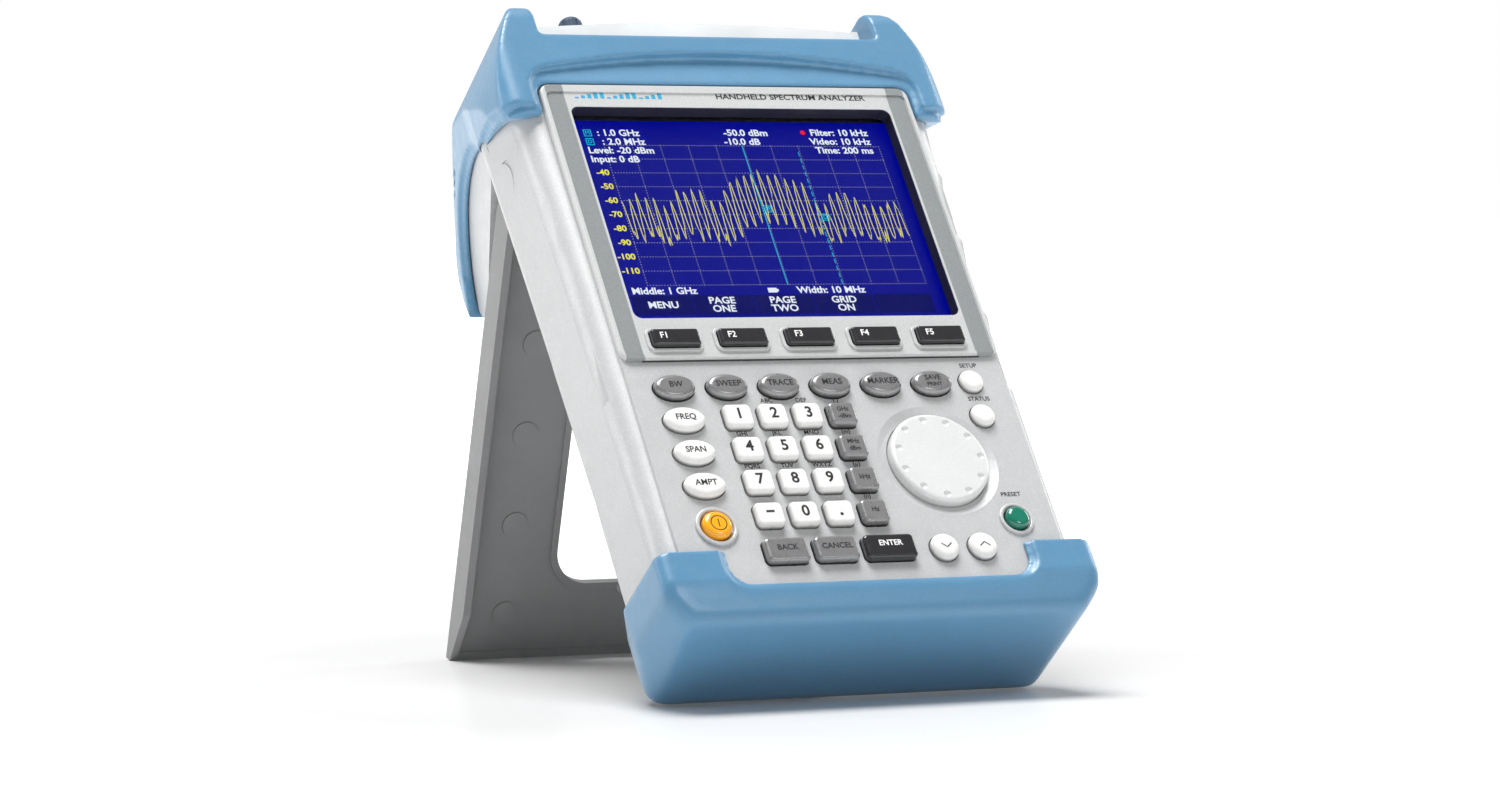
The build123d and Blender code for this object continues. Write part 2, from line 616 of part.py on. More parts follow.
def make_dust_cap():
    """Soft cap pushed over the sensor socket."""
    radius, across, depth = SOCKETS["sensor"]
    cap = post(radius + 0.9, (across, depth), 248.6, CAP_TOP)
    cap = fillet(cap.faces().sort_by(Axis.Y)[-1].edges(), 2.4)
    cap += post(radius + 1.6, (across, depth), 248.6, 250.4)
    return cap - post(radius + 0.05, (across, depth), 240, SOCKET_TOPS["sensor"] + 0.2)


# ---- inside -----------------------------------------------------------------------------
def make_battery_cover():
    """Flush cover over the battery, with two finger ribs."""
    cover = plate(COVER[0] - 0.25, COVER[1] + 0.25, COVER[2] - 0.25, 3.8, HUMP_BACK, HUMP_BACK + 2.1)
    for height in (126.0, 130.0, 134.0):
        cover -= plate(16.0, height - 0.6, height + 0.6, 0.5, HUMP_BACK - 1, HUMP_BACK + 0.7)
    return cover


def make_screws():
    """Four case screws, cross-recessed pan heads in the rear shell."""
    screws = []
    for x, y in SCREW_SPOTS:
        screw = rod(2.8, (0, 0), LEDGE + 0.3, SCREW_SEAT - FIT) + rod(1.5, (0, 0), SCREW_SEAT - 0.2, -8)
        for turn in (0, 90):
            screw -= Rot(0, 0, turn) * block((-1.6, 1.6), (-0.35, 0.35), (LEDGE - 1, LEDGE + 1.2))
        screws += both_sides(Pos(x, y, 0) * screw)
    return screws


def make_main_board():
    """Main circuit board with its larger packages."""
    board = plate(62.0, 24.0, 208.0, 2, -18.0, -16.4)
    packages = [(-30, 120, 28, 28), (18, 128, 20, 20), (20, 84, 16, 24), (-34, 72, 22, 14)]
    for across, height, width, length in packages:
        board += block((across - width / 2, across + width / 2), (height - length / 2, height + length / 2),
                       (-20.4, -17.9))
    return board


# ---- assembly ---------------------------------------------------------------------------
LEANT = Rot(90 - LEAN, 0, 0)


def make_parts():
    """All nodes in the analyzer's own frame: name -> list of solids."""
    case_form = make_case_form(0)
    clearance = make_case_form(-FIT)
    front, rear = make_shells()
    panel = finish_connector_panel(make_connector_panel())
    lower_bumper = make_lower_bumper(clearance)
    parts = {
        "front_shell": finish_front_shell(front),
        "rear_shell": finish_rear_shell(rear),
        "top_bumper": make_upper_bumper(clearance),
        "bottom_bumper": lower_bumper,
        "display_bezel": make_bezel(),
        "display_window": plate(65.0, 118.6, 215.0, 3.0, WINDOW_BACK + 0.1, -4.0 - FIT),
        "lcd_panel": plate(65.0, 118.6, 215.0, 1.5, LCD_BACK, WINDOW_BACK - 0.1),
        "keypad_mat": make_mat(),
        "keypad_board": plate(65.0, 22.5, 117.0, 2, BOARD_BACK, BOARD_FRONT),
        "main_board": make_main_board(),
        "rf_module": block((-52, 52), (220.0, 233.0), (-82, -26)),
        "battery_pack": plate(46.0, 47.0, 139.0, 6, -44.5, -22.5),
        "battery_cover": make_battery_cover(),
        "rotary_encoder": make_encoder(),
        "knob": make_knob(),
        "connector_panel": panel,
        "rf_connectors": make_ports(),
        "aux_sockets": make_sockets(),
        "dust_cap": make_dust_cap(),
        "housing_screws": make_screws(),
        "stand": make_stand((LEANT * lower_bumper).bounding_box().min.Z),
    }
    for name, key in KEYS.items():
        parts[name] = make_key(*key)
    return {name: solids if isinstance(solids, list) else [solids] for name, solids in parts.items()}


def place_and_export(parts):
    """Lean the parts back onto the floor, centre them and write one STEP file per node."""
    os.makedirs("parts", exist_ok=True)
    leant = {name: Compound(children=[LEANT * solid for solid in solids]) for name, solids in parts.items()}
    boxes = [shape.bounding_box() for shape in leant.values()]
    floor = min(box.min.Z for box in boxes)
    middle = (min(box.min.Y for box in boxes) + max(box.max.Y for box in boxes)) / 2
    for name, shape in leant.items():
        export_step(Pos(0, -middle, -floor) * shape, f"parts/{name}.step")
    print("case origin in the standing frame:", round(-middle, 4), round(-floor, 4))


if __name__ == "__main__":
    place_and_export(make_parts())
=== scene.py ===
import json
import logging
import math
from dataclasses import dataclass, field
from enum import Enum

import bmesh
import bpy
from mathutils import Matrix, Vector


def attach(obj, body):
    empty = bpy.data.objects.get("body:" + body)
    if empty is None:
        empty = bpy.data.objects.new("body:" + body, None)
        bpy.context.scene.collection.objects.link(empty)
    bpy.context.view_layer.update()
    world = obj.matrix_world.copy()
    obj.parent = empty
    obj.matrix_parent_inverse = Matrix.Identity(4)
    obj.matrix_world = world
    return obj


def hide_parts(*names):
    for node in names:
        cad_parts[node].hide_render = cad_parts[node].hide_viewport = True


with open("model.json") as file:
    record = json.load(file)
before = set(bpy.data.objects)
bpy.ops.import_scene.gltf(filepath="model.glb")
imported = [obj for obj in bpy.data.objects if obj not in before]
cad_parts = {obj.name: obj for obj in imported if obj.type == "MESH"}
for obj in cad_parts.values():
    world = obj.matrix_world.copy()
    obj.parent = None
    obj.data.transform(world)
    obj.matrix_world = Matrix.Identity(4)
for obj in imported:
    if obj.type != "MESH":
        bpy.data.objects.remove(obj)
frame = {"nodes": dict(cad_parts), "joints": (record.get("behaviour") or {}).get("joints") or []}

LOG = logging.getLogger("analyzer")
MM = 0.001
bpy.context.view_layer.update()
HOUSING = "housing"


# ---- the analyzer's own frame -----------------------------------------------------------
@dataclass(frozen=True)
class CaseFrame:
    """The leaning case's frame: across the front, up the front and out of the keypad face."""

    origin: Vector
    across: Vector
    up: Vector
    out: Vector

    KNOB_ACROSS = 34.1 * MM
    KNOB_UP = 63.1 * MM

    @classmethod
    def from_joints(cls, joints: list) -> "CaseFrame":
        """Work the frame out from the tuning knob's axis.

        Args:
            joints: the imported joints.

        Returns:
            The case's frame in the standing object's frame.
        """
        knob = next(joint for joint in joints if joint["name"] == "knob_turn")
        out = Vector(knob["axis"]).normalized()
        across = Vector((1, 0, 0))
        up = out.cross(across)
        origin = Vector(knob["pos_m"]) - across * cls.KNOB_ACROSS - up * cls.KNOB_UP
        return cls(origin, across, up, out)

    def matrix(self, u: float = 0.0, v: float = 0.0, w: float = 0.0) -> Matrix:
        """Transform that places a mesh drawn at (u, v, w), in metres, in the case's frame."""
        turn = Matrix((self.across, self.up, self.out)).transposed().to_4x4()
        spot = self.origin + self.across * u + self.up * v + self.out * w
        return Matrix.Translation(spot) @ turn

    def local(self, point: Vector) -> Vector:
        """A point of the standing object, in the case's frame."""
        arm = point - self.origin
        return Vector((arm.dot(self.across), arm.dot(self.up), arm.dot(self.out)))

    def extent(self, node: str) -> tuple[Vector, Vector]:
        """Lowest and highest corner of a CAD node, in the case's frame.

        Args:
            node: the CAD node's name.

        Returns:
            Two corners in metres.
        """
        spots = [self.local(vertex.co) for vertex in frame["nodes"][node].data.vertices]
        low = Vector([min(spot[axis] for spot in spots) for axis in range(3)])
        high = Vector([max(spot[axis] for spot in spots) for axis in range(3)])
        return low, high


CASE = CaseFrame.from_joints(frame["joints"])


# ---- finishes ---------------------------------------------------------------------------
def add_node(tree: bpy.types.NodeTree, kind: str, **sockets: object) -> bpy.types.Node:
    """Add a node and set its named inputs.

    Args:
        tree: tree to add to.
        kind: the node's type name.
        **sockets: input name (spaces as underscores) and its value or a socket to link.

    Returns:
        The new node.
    """
    node = tree.nodes.new(kind)
    for name, value in sockets.items():
        socket = node.inputs[name.replace("_", " ")]
        if isinstance(value, bpy.types.NodeSocket):
            tree.links.new(value, socket)
        else:
            socket.default_value = value
    return node


class ShaderSketch:
    """A material under construction, with short helpers for the nodes this object needs."""

    def __init__(self, name: str) -> None:
        """Start an empty material with a shader and its output."""
        self.material = bpy.data.materials.new(name)
        self.material.use_nodes = True
        self.tree = self.material.node_tree
        self.tree.nodes.clear()
        self.shader = self.tree.nodes.new("ShaderNodeBsdfPrincipled")
        output = self.tree.nodes.new("ShaderNodeOutputMaterial")
        self.tree.links.new(self.shader.outputs["BSDF"], output.inputs["Surface"])
        self.place = self.tree.nodes.new("ShaderNodeTexCoord").outputs["Object"]

    def noise(self, scale: float, detail: float = 2.0) -> bpy.types.NodeSocket:
        """Noise over the piece; scale is in features per metre."""
        node = add_node(self.tree, "ShaderNodeTexNoise", Vector=self.place, Scale=scale, Detail=detail)
        return node.outputs["Fac"]

    def cells(self, scale: float) -> bpy.types.NodeSocket:
        """Random value per small cell; scale is in cells per metre."""
        node = add_node(self.tree, "ShaderNodeTexVoronoi", Vector=self.place, Scale=scale)
        return node.outputs["Color"]

    def ramp(self, value: bpy.types.NodeSocket, low: float, high: float,
             start: float, end: float) -> bpy.types.NodeSocket:
        """Map value from low..high onto start..end, clamped."""
        node = self.tree.nodes.new("ShaderNodeMapRange")
        self.tree.links.new(value, node.inputs["Value"])
        for name, number in (("From Min", low), ("From Max", high), ("To Min", start), ("To Max", end)):
            node.inputs[name].default_value = number
        return node.outputs["Result"]

    def mix(self, factor: bpy.types.NodeSocket, first: object, second: object) -> bpy.types.NodeSocket:
        """Blend two colours (tuples or sockets) by a factor."""
        node = self.tree.nodes.new("ShaderNodeMix")
        node.data_type = "RGBA"
        self.tree.links.new(factor, node.inputs["Factor"])
        for socket, value in ((node.inputs[6], first), (node.inputs[7], second)):
            if isinstance(value, bpy.types.NodeSocket):
                self.tree.links.new(value, socket)
            else:
                socket.default_value = (*value[:3], 1.0)
        return node.outputs[2]

    def along(self, direction: Vector, origin: Vector) -> bpy.types.NodeSocket:
        """Distance of the surface point from origin along a direction, in metres."""
        shift = self.tree.nodes.new("ShaderNodeVectorMath")
        shift.operation = "SUBTRACT"
        self.tree.links.new(self.place, shift.inputs[0])
        shift.inputs[1].default_value = origin
        dot = self.tree.nodes.new("ShaderNodeVectorMath")
        dot.operation = "DOT_PRODUCT"
        self.tree.links.new(shift.outputs["Vector"], dot.inputs[0])
        dot.inputs[1].default_value = direction
        return dot.outputs["Value"]

    def distance(self) -> bpy.types.NodeSocket:
        """Distance of a point from the piece's origin, in metres."""
        length = self.tree.nodes.new("ShaderNodeVectorMath")
        length.operation = "LENGTH"
        self.tree.links.new(self.place, length.inputs[0])
        return length.outputs["Value"]

    def math(self, operation: str, first: object, second: object = 0.0) -> bpy.types.NodeSocket:
        """One arithmetic step on sockets or numbers."""
        node = self.tree.nodes.new("ShaderNodeMath")
        node.operation = operation
        for socket, value in zip(node.inputs, (first, second)):
            if isinstance(value, bpy.types.NodeSocket):
                self.tree.links.new(value, socket)
            else:
                socket.default_value = value
        return node.outputs[0]

    def bump(self, height: bpy.types.NodeSocket, depth: float, strength: float = 1.0,
             under: bpy.types.NodeSocket = None) -> bpy.types.NodeSocket:
        """Bump of a given depth in metres, over an optional coarser one."""
        node = add_node(self.tree, "ShaderNodeBump", Height=height, Distance=depth, Strength=strength)
        if under is not None:
            self.tree.links.new(under, node.inputs["Normal"])
        return node.outputs["Normal"]

    def set(self, **sockets: object) -> None:
        """Set or link the shader's named inputs."""
        for name, value in sockets.items():
            socket = self.shader.inputs[name.replace("_", " ")]
            if isinstance(value, bpy.types.NodeSocket):
                self.tree.links.new(value, socket)
            elif isinstance(value, tuple):
                socket.default_value = (*value[:3], 1.0)
            else:
                socket.default_value = value


@dataclass(frozen=True)
class MouldedFinish:
    """Moulded plastic or rubber: body colour, fine grain, soft mottling, worn sheen and optional painted shade
    darkening the piece's foot.
    """

    name: str
    colour: tuple
    roughness: float = 0.45
    grain: float = 2200.0
    grain_depth: float = 0.00003
    mottle: float = 0.06
    sparkle: float = 0.0
    metallic: float = 0.0
    coat: float = 0.0
    sheen: float = 0.0
    specular: float = 0.5
    painted_foot_shade: float = 0.0

    def build(self) -> bpy.types.Material:
        """The finish as a procedural material."""
        sketch = ShaderSketch(self.name)
        dark = tuple(channel * (1 - self.mottle) for channel in self.colour)
        light = tuple(min(1.0, channel * (1 + self.mottle)) for channel in self.colour)
        colour = sketch.mix(sketch.ramp(sketch.noise(55.0, 4.0), 0.3, 0.7, 0, 1), dark, light)
        if self.sparkle:
            flakes = sketch.ramp(sketch.cells(self.grain * 0.9), 0.25, 1.0, 0.0, 1.0)
            gain, lift = 1 + self.sparkle, 0.25 * self.sparkle
            bright = tuple(min(1.0, channel * gain + lift) for channel in self.colour)
            dull = tuple(channel * (1 - 0.5 * self.sparkle) for channel in self.colour)
            colour = sketch.mix(sketch.ramp(flakes, 0.0, 1.0, 0.0, 0.5), colour,
                                sketch.mix(flakes, dull, bright))
        # Painted shade: the colour darkens near the keypad face, standing in for the shade round a key cap's
        # foot.
        if self.painted_foot_shade:
            low = sketch.ramp(sketch.along(CASE.out, CASE.origin), 0.5 * MM, 1.7 * MM, self.painted_foot_shade, 0.0)
            colour = sketch.mix(low, colour, tuple(channel * 0.12 for channel in self.colour))
        smooth, dull_spots = self.roughness - 0.05, self.roughness + 0.07
        worn = sketch.ramp(sketch.noise(240.0, 6.0), 0.35, 0.75, smooth, dull_spots)
        fine = sketch.noise(self.grain, 3.0)
        sketch.set(Base_Color=colour, Roughness=worn, Normal=sketch.bump(fine, self.grain_depth, 0.55),
                   Metallic=self.metallic, Coat_Weight=self.coat, Coat_Roughness=0.12,
                   Sheen_Weight=self.sheen, Specular_IOR_Level=self.specular)
        return sketch.material


@dataclass(frozen=True)
class GlowFinish:
    """Lit display ink: a colour that glows a little unevenly."""

    name: str
    colour: tuple
    strength: float = 1.0
    drift: float = 0.05

    def build(self) -> bpy.types.Material:
        """The lit ink as a material."""
        sketch = ShaderSketch(self.name)
        dim = tuple(channel * (1 - self.drift) for channel in self.colour)
        glow = sketch.mix(sketch.ramp(sketch.noise(30.0, 1.0), 0.3, 0.7, 0, 1), dim, self.colour)
        sketch.set(Base_Color=(0.0, 0.0, 0.0), Roughness=0.35, Emission_Color=glow,
                   Emission_Strength=self.strength, Specular_IOR_Level=0.2)
        return sketch.material


@dataclass(frozen=True)
class MetalFinish:
    """Machined or plated metal with fine turning marks."""

    name: str
    colour: tuple
    roughness: float = 0.25

    def build(self) -> bpy.types.Material:
        """The metal as a material."""
        sketch = ShaderSketch(self.name)
        dark = tuple(channel * 0.8 for channel in self.colour)
        colour = sketch.mix(sketch.noise(400.0, 4.0), dark, self.colour)
        rough = sketch.ramp(sketch.noise(900.0, 4.0), 0.3, 0.7, self.roughness * 0.7, self.roughness * 1.4)
        sketch.set(Base_Color=colour, Roughness=rough, Metallic=1.0,
                   Normal=sketch.bump(sketch.noise(3000.0, 2.0), 0.00001, 0.4))
        return sketch.material


def bezel_finish() -> bpy.types.Material:
    """Satin display surround: light face, cool grey side strips, and painted shade colouring the opening walls
    near-black.
    """
    sketch = ShaderSketch("bezel_satin")
    across = sketch.math("ABSOLUTE", sketch.along(CASE.across, CASE.origin))
    out = sketch.along(CASE.out, CASE.origin)
    grain = sketch.ramp(sketch.noise(1800.0, 3.0), 0.3, 0.7, 0.0, 1.0)
    face = sketch.mix(grain, (0.48, 0.49, 0.49), (0.56, 0.57, 0.57))
    strip = sketch.mix(grain, (0.22, 0.235, 0.24), (0.27, 0.285, 0.29))
    side = sketch.ramp(across, 61.6 * MM, 61.9 * MM, 0.0, 1.0)
    inside = sketch.ramp(across, 68.3 * MM, 68.5 * MM, 1.0, 0.0)
    colour = sketch.mix(sketch.math("MULTIPLY", side, inside), face, strip)
    # Painted shade: inside the opening, surfaces below the face are coloured near-black to stand in for the
    # shade in the recess.
    deep = sketch.ramp(out, 0.9 * MM, 1.15 * MM, 1.0, 0.0)
    painted_wall_shade = sketch.mix(sketch.noise(90.0, 2.0), (0.012, 0.012, 0.013), (0.03, 0.03, 0.032))
    within = sketch.ramp(across, 62.6 * MM, 62.9 * MM, 1.0, 0.0)
    colour = sketch.mix(sketch.math("MULTIPLY", deep, within), colour, painted_wall_shade)
    rough = sketch.ramp(sketch.noise(300.0, 5.0), 0.3, 0.7, 0.3, 0.4)
    sketch.set(Base_Color=colour, Roughness=rough, Normal=sketch.bump(grain, 0.00002, 0.35))
    return sketch.material


def window_finish() -> bpy.types.Material:
    """Clear hard-coated pane with the faintest smudges."""
    sketch = ShaderSketch("window_clear")
    rough = sketch.ramp(sketch.noise(60.0, 5.0), 0.4, 0.8, 0.02, 0.06)
    sketch.set(Base_Color=(0.98, 0.99, 1.0), Roughness=rough, Transmission_Weight=1.0, IOR=1.06)
    return sketch.material


class Finishes:
    """All finishes of the analyzer, each built once."""

    def __init__(self) -> None:
        """Build every material of the object."""
        moulded = [
            MouldedFinish("silver_paint", (0.52, 0.525, 0.53), 0.38, 2600.0, 0.00004, 0.02, 0.22, 0.15),
            MouldedFinish("bumper_blue", (0.070, 0.225, 0.385), 0.40, 2400.0, 0.00006, 0.03, 0.10, 0.0,
                          0.15, 0.2, 0.7),
            MouldedFinish("panel_grey", (0.72, 0.73, 0.725), 0.45, 2400.0),
            # The stand is grey plastic, darkened below its own light grey as painted shade for its shaded
            # inner face.
            MouldedFinish("stand_grey_painted_shade", (0.27, 0.272, 0.275), 0.5, 1500.0, 0.00008, 0.04),
            MouldedFinish("knob_satin", (0.68, 0.685, 0.685), 0.36, 2600.0, 0.00003, 0.02, 0.15, 0.1),
            # The key caps carry painted shade that darkens their foot.
            MouldedFinish("key_white", (0.76, 0.76, 0.745), 0.3, 2400.0, 0.00001, 0.02, painted_foot_shade=0.8),
            MouldedFinish("key_grey", (0.27, 0.27, 0.275), 0.30, 2800.0, 0.00002, 0.03, 0.2, 0.5,
                          painted_foot_shade=0.9),
            MouldedFinish("key_black", (0.018, 0.018, 0.02), 0.22, 2800.0, 0.00001, 0.05, 0.0, 0.0, 0.4),
            MouldedFinish("key_amber", (0.95, 0.40, 0.005), 0.22, 2400.0, 0.00001, 0.04, 0.0, 0.0, 0.6),
            MouldedFinish("key_green", (0.0, 0.17, 0.105), 0.16, 2400.0, 0.00001, 0.05, 0.0, 0.0, 0.8),
            MouldedFinish("cap_rubber", (0.02, 0.05, 0.10), 0.5, 1800.0, 0.00006, 0.1),
            MouldedFinish("mat_silicone", (0.12, 0.12, 0.125), 0.6),
            MouldedFinish("board_green", (0.01, 0.09, 0.04), 0.4),
            MouldedFinish("battery_wrap", (0.03, 0.03, 0.035), 0.5),
            MouldedFinish("ink_dark", (0.012, 0.012, 0.014), 0.5, 3000.0, 0.0, 0.1),
            MouldedFinish("ink_white", (0.85, 0.85, 0.85), 0.45, 3000.0, 0.0, 0.02),
            MouldedFinish("ink_cyan", (0.02, 0.33, 0.55), 0.45, 3000.0, 0.0, 0.04),
        ]
        glows = [
            GlowFinish("lcd_blue", (0.0, 0.0016, 0.25), 1.0),
            GlowFinish("lcd_bar", (0.0, 0.0015, 0.115), 1.0),
            GlowFinish("lcd_white", (0.80, 0.86, 0.92), 1.0),
            GlowFinish("lcd_yellow", (0.86, 0.82, 0.04), 1.0),
            GlowFinish("lcd_dots", (0.42, 0.44, 0.33), 0.9),
            GlowFinish("lcd_cyan", (0.0, 0.62, 0.80), 1.0),
            GlowFinish("lcd_red", (0.9, 0.01, 0.01), 1.0),
        ]
        metals = [
            MetalFinish("port_nickel", (0.62, 0.60, 0.55), 0.22),
            MetalFinish("shield_tin", (0.5, 0.5, 0.5), 0.4),
            MetalFinish("screw_zinc", (0.12, 0.12, 0.125), 0.35),
        ]
        self.all = {finish.name: finish.build() for finish in (*moulded, *glows, *metals)}
        self.all["bezel_satin"] = bezel_finish()
        self.all["window_clear"] = window_finish()

    def __getitem__(self, name: str) -> bpy.types.Material:
        """The material of that name."""
        return self.all[name]

    def dress(self, node: str, name: str) -> None:
        """Give a CAD node one finish.

        Args:
            node: the CAD node's name.
            name: the finish's name.
        """
        mesh = frame["nodes"][node].data
        mesh.materials.clear()
        mesh.materials.append(self.all[name])
        LOG.info("%s dressed in %s", node, name)


# ---- making pieces ----------------------------------------------------------------------
def add_piece(name: str, mesh: bpy.types.Mesh, material: bpy.types.Material,
              body: str = HOUSING) -> bpy.types.Object:
    """Link a mesh that already lies in its place and ride it on a body.

    Args:
        name: the piece's name.
        mesh: its mesh, in the standing object's frame.
        material: its finish.
        body: the body it rides on.

    Returns:
        The piece's object.
    """
    mesh.materials.clear()
    mesh.materials.append(material)
    piece = bpy.data.objects.new(name, mesh)
    bpy.context.scene.collection.objects.link(piece)
    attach(piece, body)
    LOG.info("%s made, %d faces, rides on %s", name, len(mesh.polygons), body)
    return piece


def flat_mesh(name: str, outlines: list, matrix: Matrix) -> bpy.types.Mesh:
    """Flat polygons in the case's plane, facing out.

    Args:
        name: the mesh's name.
        outlines: lists of (across, up) corners, anticlockwise, in metres.
        matrix: placing transform.

    Returns:
        The mesh.
    """
    corners, faces = [], []
    for outline in outlines:
        faces.append(tuple(range(len(corners), len(corners) + len(outline))))
        corners.extend((x, y, 0.0) for x, y in outline)
    mesh = bpy.data.meshes.new(name)
    mesh.from_pydata(corners, [], faces)
    mesh.transform(matrix)
    mesh.update()
    return mesh


def rectangle(left: float, foot: float, right: float, top: float) -> list:
    """Corners of an upright rectangle, given in millimetres, in metres."""
    return [(left * MM, foot * MM), (right * MM, foot * MM), (right * MM, top * MM), (left * MM, top * MM)]


class Align(Enum):
    """Where a line of lettering sits about its place."""

    LEFT = "LEFT"
    CENTRE = "CENTER"
    RIGHT = "RIGHT"


@dataclass(frozen=True)
class Lettering:
    """One line of plain lettering: words, place in millimetres, size and weight."""

    words: str
    across: float
    up: float
    size: float = 2.4
    align: Align = Align.CENTRE
    weight: float = 0.0
    stretch: float = 1.0


def lettering_mesh(name: str, lines: list, depth: float, thickness: float = 0.02) -> bpy.types.Mesh:
    """Lettering as one plain mesh in the case's plane.

    Args:
        name: the mesh's name.
        lines: the Lettering lines.
        depth: height of the lettering's base over the keypad face, in millimetres.
        thickness: how thick the ink stands, in millimetres.

    Returns:
        The joined mesh, in place.
    """
    bag = bmesh.new()
    for line in lines:
        curve = bpy.data.curves.new(name + "_type", "FONT")
        curve.body = line.words
        curve.size = line.size * 1.35 * MM
        curve.align_x = line.align.value
        curve.align_y = "CENTER"
        curve.resolution_u = 3
        curve.extrude = thickness * MM / 2
        curve.offset = line.weight * MM
        holder = bpy.data.objects.new(name + "_type", curve)
        mesh = bpy.data.meshes.new_from_object(holder)
        mesh.transform(Matrix.Diagonal((line.stretch, 1.0, 1.0, 1.0)))
        mesh.transform(CASE.matrix(line.across * MM, line.up * MM, (depth + thickness / 2) * MM))
        bag.from_mesh(mesh)
        bpy.data.objects.remove(holder)
        bpy.data.curves.remove(curve)
        bpy.data.meshes.remove(mesh)
    joined = bpy.data.meshes.new(name)
    bag.to_mesh(joined)
    bag.free()
    return joined


# ---- Geometry Nodes ---------------------------------------------------------------------
class GrowthTree:
    """A Geometry Nodes tree built in code, with named inputs."""

    def __init__(self, name: str, inputs: dict) -> None:
        """Start the tree.

        Args:
            name: the tree's name.
            inputs: input name to (socket type, value).
        """
        self.tree = bpy.data.node_groups.new(name, "GeometryNodeTree")
        self.values = inputs
        for label, (kind, _) in inputs.items():
            self.tree.interface.new_socket(label, in_out="INPUT", socket_type=kind)
        self.tree.interface.new_socket("Geometry", in_out="OUTPUT", socket_type="NodeSocketGeometry")
        self.inputs = self.tree.nodes.new("NodeGroupInput").outputs

    def node(self, kind: str, **sockets: object) -> bpy.types.Node:
        """Add a node with its named inputs set or linked."""
        return add_node(self.tree, kind, **sockets)

    def math(self, operation: str, *values: object) -> bpy.types.NodeSocket:
        """One arithmetic step on sockets or numbers."""
        node = self.tree.nodes.new("ShaderNodeMath")
        node.operation = operation
        for socket, value in zip(node.inputs, values):
            if isinstance(value, bpy.types.NodeSocket):
                self.tree.links.new(value, socket)
            else:
                socket.default_value = value
        return node.outputs[0]

    def join(self, *parts: bpy.types.NodeSocket) -> bpy.types.NodeSocket:
        """Join several geometries."""
        node = self.tree.nodes.new("GeometryNodeJoinGeometry")
        for part in parts:
            self.tree.links.new(part, node.inputs[0])
        return node.outputs[0]

    def grow(self, name: str, geometry: bpy.types.NodeSocket, material: bpy.types.Material,
             matrix: Matrix) -> bpy.types.Mesh:
        """Close the tree, run it once and keep the result as a plain mesh in its place.

        Args:
            name: the mesh's name.
            geometry: the tree's last geometry.
            material: finish set by the tree.
            matrix: placing transform of the result.

        Returns:
            The plain mesh.
        """
        real = self.node("GeometryNodeRealizeInstances", Geometry=geometry)
        painted = self.node("GeometryNodeSetMaterial", Geometry=real.outputs[0], Material=material)
        output = self.tree.nodes.new("NodeGroupOutput")
        self.tree.links.new(painted.outputs[0], output.inputs["Geometry"])
        holder = bpy.data.objects.new(name + "_grown", bpy.data.meshes.new(name + "_seed"))
        bpy.context.scene.collection.objects.link(holder)
        modifier = holder.modifiers.new("growth", "NODES")
        modifier.node_group = self.tree
        for item in self.tree.interface.items_tree:
            if item.in_out == "INPUT":
                modifier[item.identifier] = self.values[item.name][1]
        shape = holder.evaluated_get(bpy.context.evaluated_depsgraph_get())
        mesh = bpy.data.meshes.new_from_object(shape)
        holder.modifiers.clear()
        bpy.data.objects.remove(holder)
        mesh.name = name
        mesh.transform(matrix)
        mesh.update()
        return mesh


# ---- bumpers ----------------------------------------------------------------------------
@dataclass
class Bumpers:
    """The two soft bumpers, their moulded edges rounded from the CAD solids."""

    finishes: Finishes
    voxel: float = 0.7 * MM
    passes: dict = field(default_factory=lambda: {"top_bumper": 14, "bottom_bumper": 90})
    round_below: float = 10.0 * MM
    round_fade: float = 9.0 * MM
    crisp: float = 0.12
    kept: float = 0.3

    def weight(self, node: str, spot: Vector) -> float:
        """How much a point is rounded: the lower bumper's underside far more than its rim."""
        if node == "top_bumper":
            return 1.0
        share = (self.round_below + self.round_fade - CASE.local(spot).y) / self.round_fade
        return max(self.crisp, min(1.0, share))

    def soften(self, node: str) -> bpy.types.Mesh:
        """A rounded copy of a CAD node's mesh.

        Args:
            node: the CAD node's name.

        Returns:
            The rounded mesh, in place.
        """
        mesh = frame["nodes"][node].data.copy()
        bag = bmesh.new()
        bag.from_mesh(mesh)
        bmesh.ops.remove_doubles(bag, verts=bag.verts, dist=1e-6)
        bmesh.ops.recalc_face_normals(bag, faces=bag.faces)
        bag.to_mesh(mesh)
        bag.free()
        holder = bpy.data.objects.new(node + "_holder", mesh)
        bpy.context.scene.collection.objects.link(holder)
        remesh = holder.modifiers.new("remesh", "REMESH")
        remesh.mode = "VOXEL"
        remesh.voxel_size = self.voxel
        holder.data = self.settled(holder)
        group = holder.vertex_groups.new(name="rounded")
        for vertex in holder.data.vertices:
            group.add([vertex.index], self.weight(node, vertex.co), "REPLACE")
        smooth = holder.modifiers.new("smooth", "SMOOTH")
        smooth.factor = 0.5
        smooth.iterations = self.passes[node]
        smooth.vertex_group = group.name
        thin = holder.modifiers.new("thin", "DECIMATE")
        thin.ratio = self.kept
        result = self.settled(holder)
        bpy.data.objects.remove(holder)
        for polygon in result.polygons:
            polygon.use_smooth = True
        return result

    @staticmethod
    def settled(holder: bpy.types.Object) -> bpy.types.Mesh:
        """The holder's mesh with its modifiers carried out and cleared."""
        shape = holder.evaluated_get(bpy.context.evaluated_depsgraph_get())
        mesh = bpy.data.meshes.new_from_object(shape)
        holder.modifiers.clear()
        return mesh

    def build(self) -> None:
        """Make both bumpers and let them stand for their CAD nodes."""
        for node in ("top_bumper", "bottom_bumper"):
            piece = add_piece(node + "_soft", self.soften(node), self.finishes["bumper_blue"])
            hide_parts(node)


